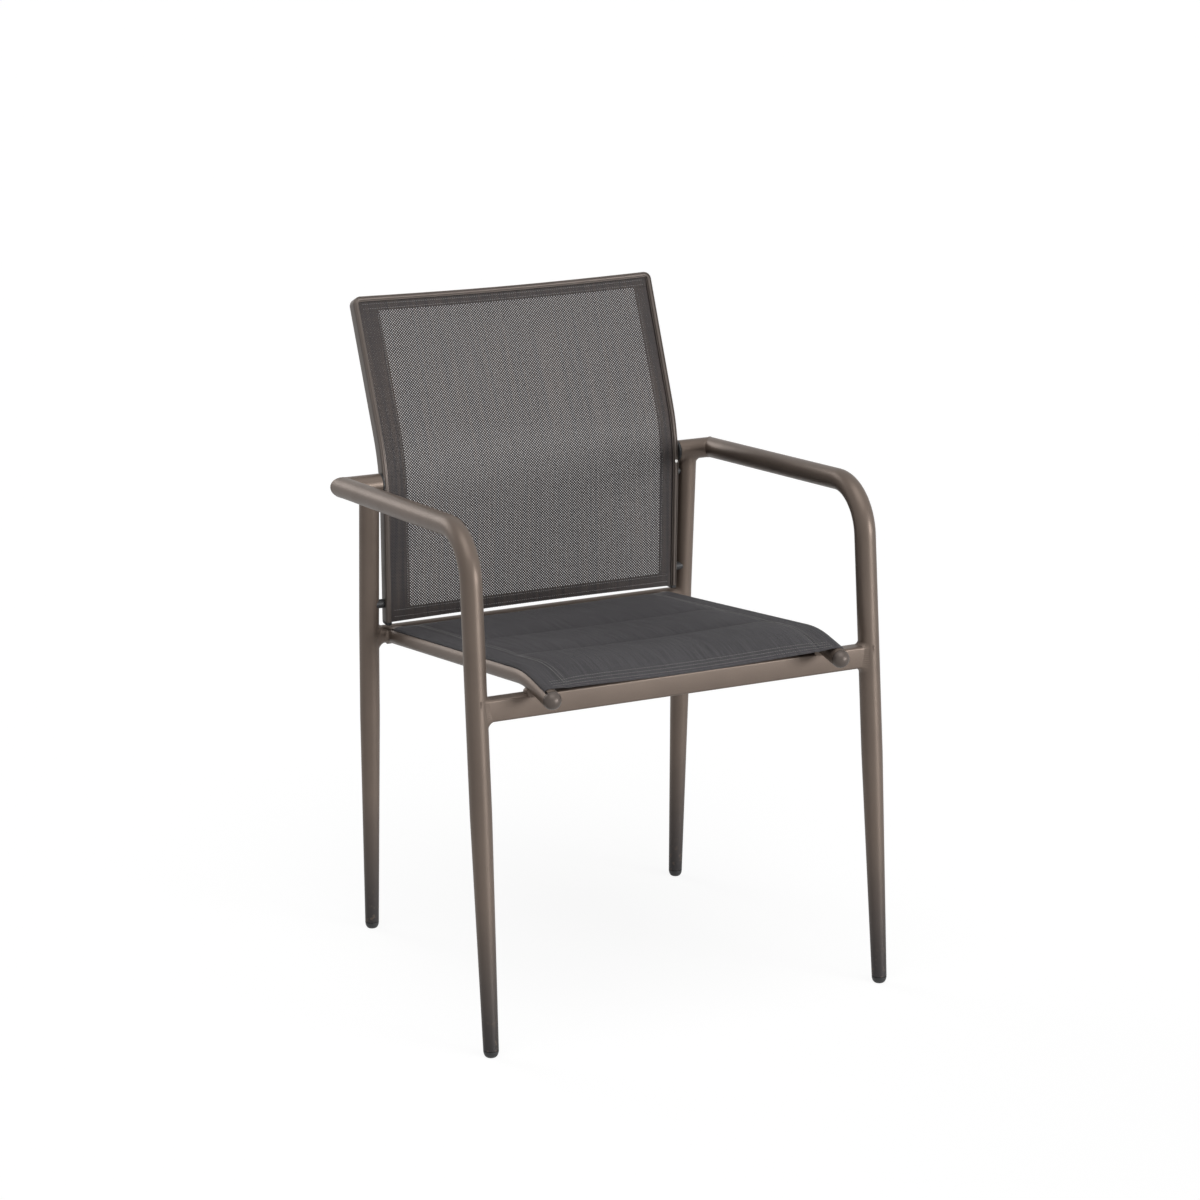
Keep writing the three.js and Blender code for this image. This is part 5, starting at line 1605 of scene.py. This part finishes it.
class SLINGCHAIR_OT_fasteners(bpy.types.Operator):
    """Make the bolts, their spacers and the small screws, and finish the inserts in the legs."""

    bl_idname = "sling_chair.fasteners"
    bl_label = "Fasteners"

    def execute(self, context):
        for level, height in (("upper", UPPER_BOLT), ("lower", LOWER_BOLT)):
            pair(f"{level}_spacer", self.spacer(height), "plastic", "black", f"{level}_back_spacer")
            pair(f"{level}_bolt", self.bolt(height), "steel", "steel", f"{level}_back_bolt")
            refinish("steel", *(f"{level}_leg_insert_{side}" for side in ("right", "left")))
        pair("face_screw", self.face_screw(), "steel", "steel", "back_face_screw")
        return {"FINISHED"}

    def spacer(self, height):
        """A collar from the frame's side to the leg's face, eased where it meets the frame."""
        radii, steps, sunk = np.array([0.0055, 0.006, 0.006]), np.array([0, 0.0005, 0.001]), 0.0001
        places = bolt_place(height) + (PART_GAP + steps)[:, None] * ACROSS
        near = circle(radii, 48) @ np.stack([np.cross(UP, ACROSS), UP])
        grid = places[:, None] + near
        last = meets(grid[-1], ACROSS, REAR_TOP, REAR_TOP - REAR_BEND, LEG_RADIUS - sunk)
        return capped(np.concatenate([grid, last[None]]))

    def bolt(self, height):
        """A button-headed bolt that points outwards through the frame."""
        place = bolt_place(height) - ACROSS * (BACK_FACE + PART_GAP)
        return aimed(button_head(0.005, 0.003, 0.003, 0.026), place, -ACROSS, UP)

    def face_screw(self):
        """A small screw in the frame's front face."""
        ahead = -0.0002
        place = back_place((BACK_WIDTH - BACK_FACE) / 2, back_length_at(FACE_SCREW), ahead)
        head = button_head(0.0023, 0.001, 0.0015, 0.0022, 36)
        return aimed(head, place, np.cross(ACROSS, UP), UP)


# Stage


def seen_directly(tree):
    """1 for the rays that see the plain background, and 0 for the light that spreads from it."""
    rays = add_node(tree, "LightPath").outputs
    direct = sum_of(tree, "MAXIMUM", rays["Is Camera Ray"], rays["Is Glossy Ray"])
    return sum_of(tree, "MAXIMUM", direct, rays["Is Transmission Ray"])


def cleared(owner):
    """The empty node tree of a material or world."""
    owner.use_nodes = True
    owner.node_tree.nodes.clear()
    return owner.node_tree


class SLINGCHAIR_OT_stage(bpy.types.Operator):
    """Set the camera, the lamps, the pale floor and the world."""

    bl_idname = "sling_chair.stage"
    bl_label = "Stage"

    def execute(self, context):
        settings = context.scene.sling_chair.stage
        self.camera(context, settings)
        lit = settings.ambient
        for name, turn, lift, spread in LAMPS:
            strength = getattr(settings, name)
            self.lamp(context, f"{name}_lamp", strength, turn, lift, spread)
            lit += strength * math.sin(math.radians(lift)) / math.pi
        self.floor(context, settings.shade, lit)
        self.world(context, settings)
        context.scene.view_settings.view_transform = "Standard"
        return {"FINISHED"}

    def camera(self, context, settings):
        """Right, up and back from turn, lift and roll, at a distance from the target."""
        turn, lift, roll = settings.turn, settings.lift, settings.roll
        level = np.array([math.cos(turn), math.sin(turn), 0.0])
        ahead = np.cross(UP, level)
        back = UP * math.sin(lift) - ahead * math.cos(lift)
        upright = np.cross(back, level)
        right = level * math.cos(roll) + upright * math.sin(roll)
        up = upright * math.cos(roll) - level * math.sin(roll)
        place = np.array(settings.target) + back * settings.distance
        data = bpy.data.cameras.new("camera")
        data.lens, data.sensor_width = settings.lens, 36.0
        data.clip_end = 200.0
        camera = bpy.data.objects.new("camera", data)
        rows = np.vstack([np.stack([right, up, back, place], axis=-1), [0, 0, 0, 1]])
        camera.matrix_world = Matrix(rows.tolist())
        context.scene.collection.objects.link(camera)
        context.scene.camera = camera

    def lamp(self, context, name, strength, turn, lift, spread):
        """A broad sun lamp, aimed at the chair from a turn and a lift given in degrees."""
        data = bpy.data.lights.new(name, "SUN")
        data.energy, data.angle = strength, math.radians(spread)
        lamp = bpy.data.objects.new(name, data)
        lamp.rotation_euler = (math.radians(90 - lift), 0, math.radians(turn))
        context.scene.collection.objects.link(lamp)

    def floor(self, context, shade, lit):
        """A wide floor, plain grey to the light, and to direct rays white but for a faint shadow.

        What direct rays see is a glow of 1 - shade plus a lit share that adds up to shade out of
        the shadow.
        """
        mesh = bpy.data.meshes.new("floor")
        signs = ((-1, -1), (1, -1), (1, 1), (-1, 1))
        corners = [(x * FLOOR_REACH, y * FLOOR_REACH, 0) for x, y in signs]
        mesh.from_pydata(corners, [], [(0, 1, 2, 3)])
        floor = bpy.data.objects.new("floor", mesh)
        context.scene.collection.objects.link(floor)
        material = bpy.data.materials.new("pale_floor")
        tree = cleared(material)
        pale, shaded = (
            add_node(tree, "BsdfDiffuse", (grey, grey, grey, 1)).outputs[0]
            for grey in (FLOOR_GREY, shade / lit)
        )
        glow = add_node(tree, "Emission", (1, 1, 1, 1), 1 - shade).outputs[0]
        seen = add_node(tree, "AddShader", glow, shaded).outputs[0]
        mixed = add_node(tree, "MixShader", seen_directly(tree), pale, seen).outputs[0]
        add_node(tree, "OutputMaterial", mixed)
        mesh.materials.append(material)

    def world(self, context, settings):
        """Even light all round that looks white where it is seen directly."""
        context.scene.world = bpy.data.worlds.new("soft_surround")
        tree = cleared(context.scene.world)
        strength = between(tree, seen_directly(tree), settings.ambient, 1.0)
        light = add_node(tree, "Background", (1, 1, 1, 1), strength).outputs[0]
        add_node(tree, "OutputWorld", light)


class SLINGCHAIR_PT_panel(bpy.types.Panel):
    """Lists the chair's pieces and settings."""

    bl_label = "Sling patio chair"
    bl_idname = "SLINGCHAIR_PT_panel"
    bl_space_type = "VIEW_3D"
    bl_region_type = "UI"
    bl_category = "Chair"

    def draw(self, context):
        column = self.layout.column()
        for step in STEPS:
            column.operator(step.bl_idname)
        settings = context.scene.sling_chair
        for group in (settings.coat, settings.seat, settings.back, settings.stage):
            box = self.layout.box().column()
            for name in group.__annotations__:
                box.prop(group, name)


STEPS = (
    SLINGCHAIR_OT_arms_and_legs,
    SLINGCHAIR_OT_crossbars,
    SLINGCHAIR_OT_welds,
    SLINGCHAIR_OT_seat_rails,
    SLINGCHAIR_OT_seat_sling,
    SLINGCHAIR_OT_back_frame,
    SLINGCHAIR_OT_back_sling,
    SLINGCHAIR_OT_fasteners,
    SLINGCHAIR_OT_stage,
)
GROUPS = (CoatSettings, SeatSettings, BackSettings, StageSettings, ChairSettings)


def register():
    for group in (*GROUPS, *STEPS, SLINGCHAIR_PT_panel):
        bpy.utils.register_class(group)
    bpy.types.Scene.sling_chair = PointerProperty(type=ChairSettings)


def unregister():
    del bpy.types.Scene.sling_chair
    for group in reversed((*GROUPS, *STEPS, SLINGCHAIR_PT_panel)):
        bpy.utils.unregister_class(group)


def main():
    """Registers the add-on, and makes every piece and the stage."""
    register()
    for step in STEPS:
        family, name = step.bl_idname.split(".")
        getattr(getattr(bpy.ops, family), name)()
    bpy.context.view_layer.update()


if __name__ == "__main__":
    main()
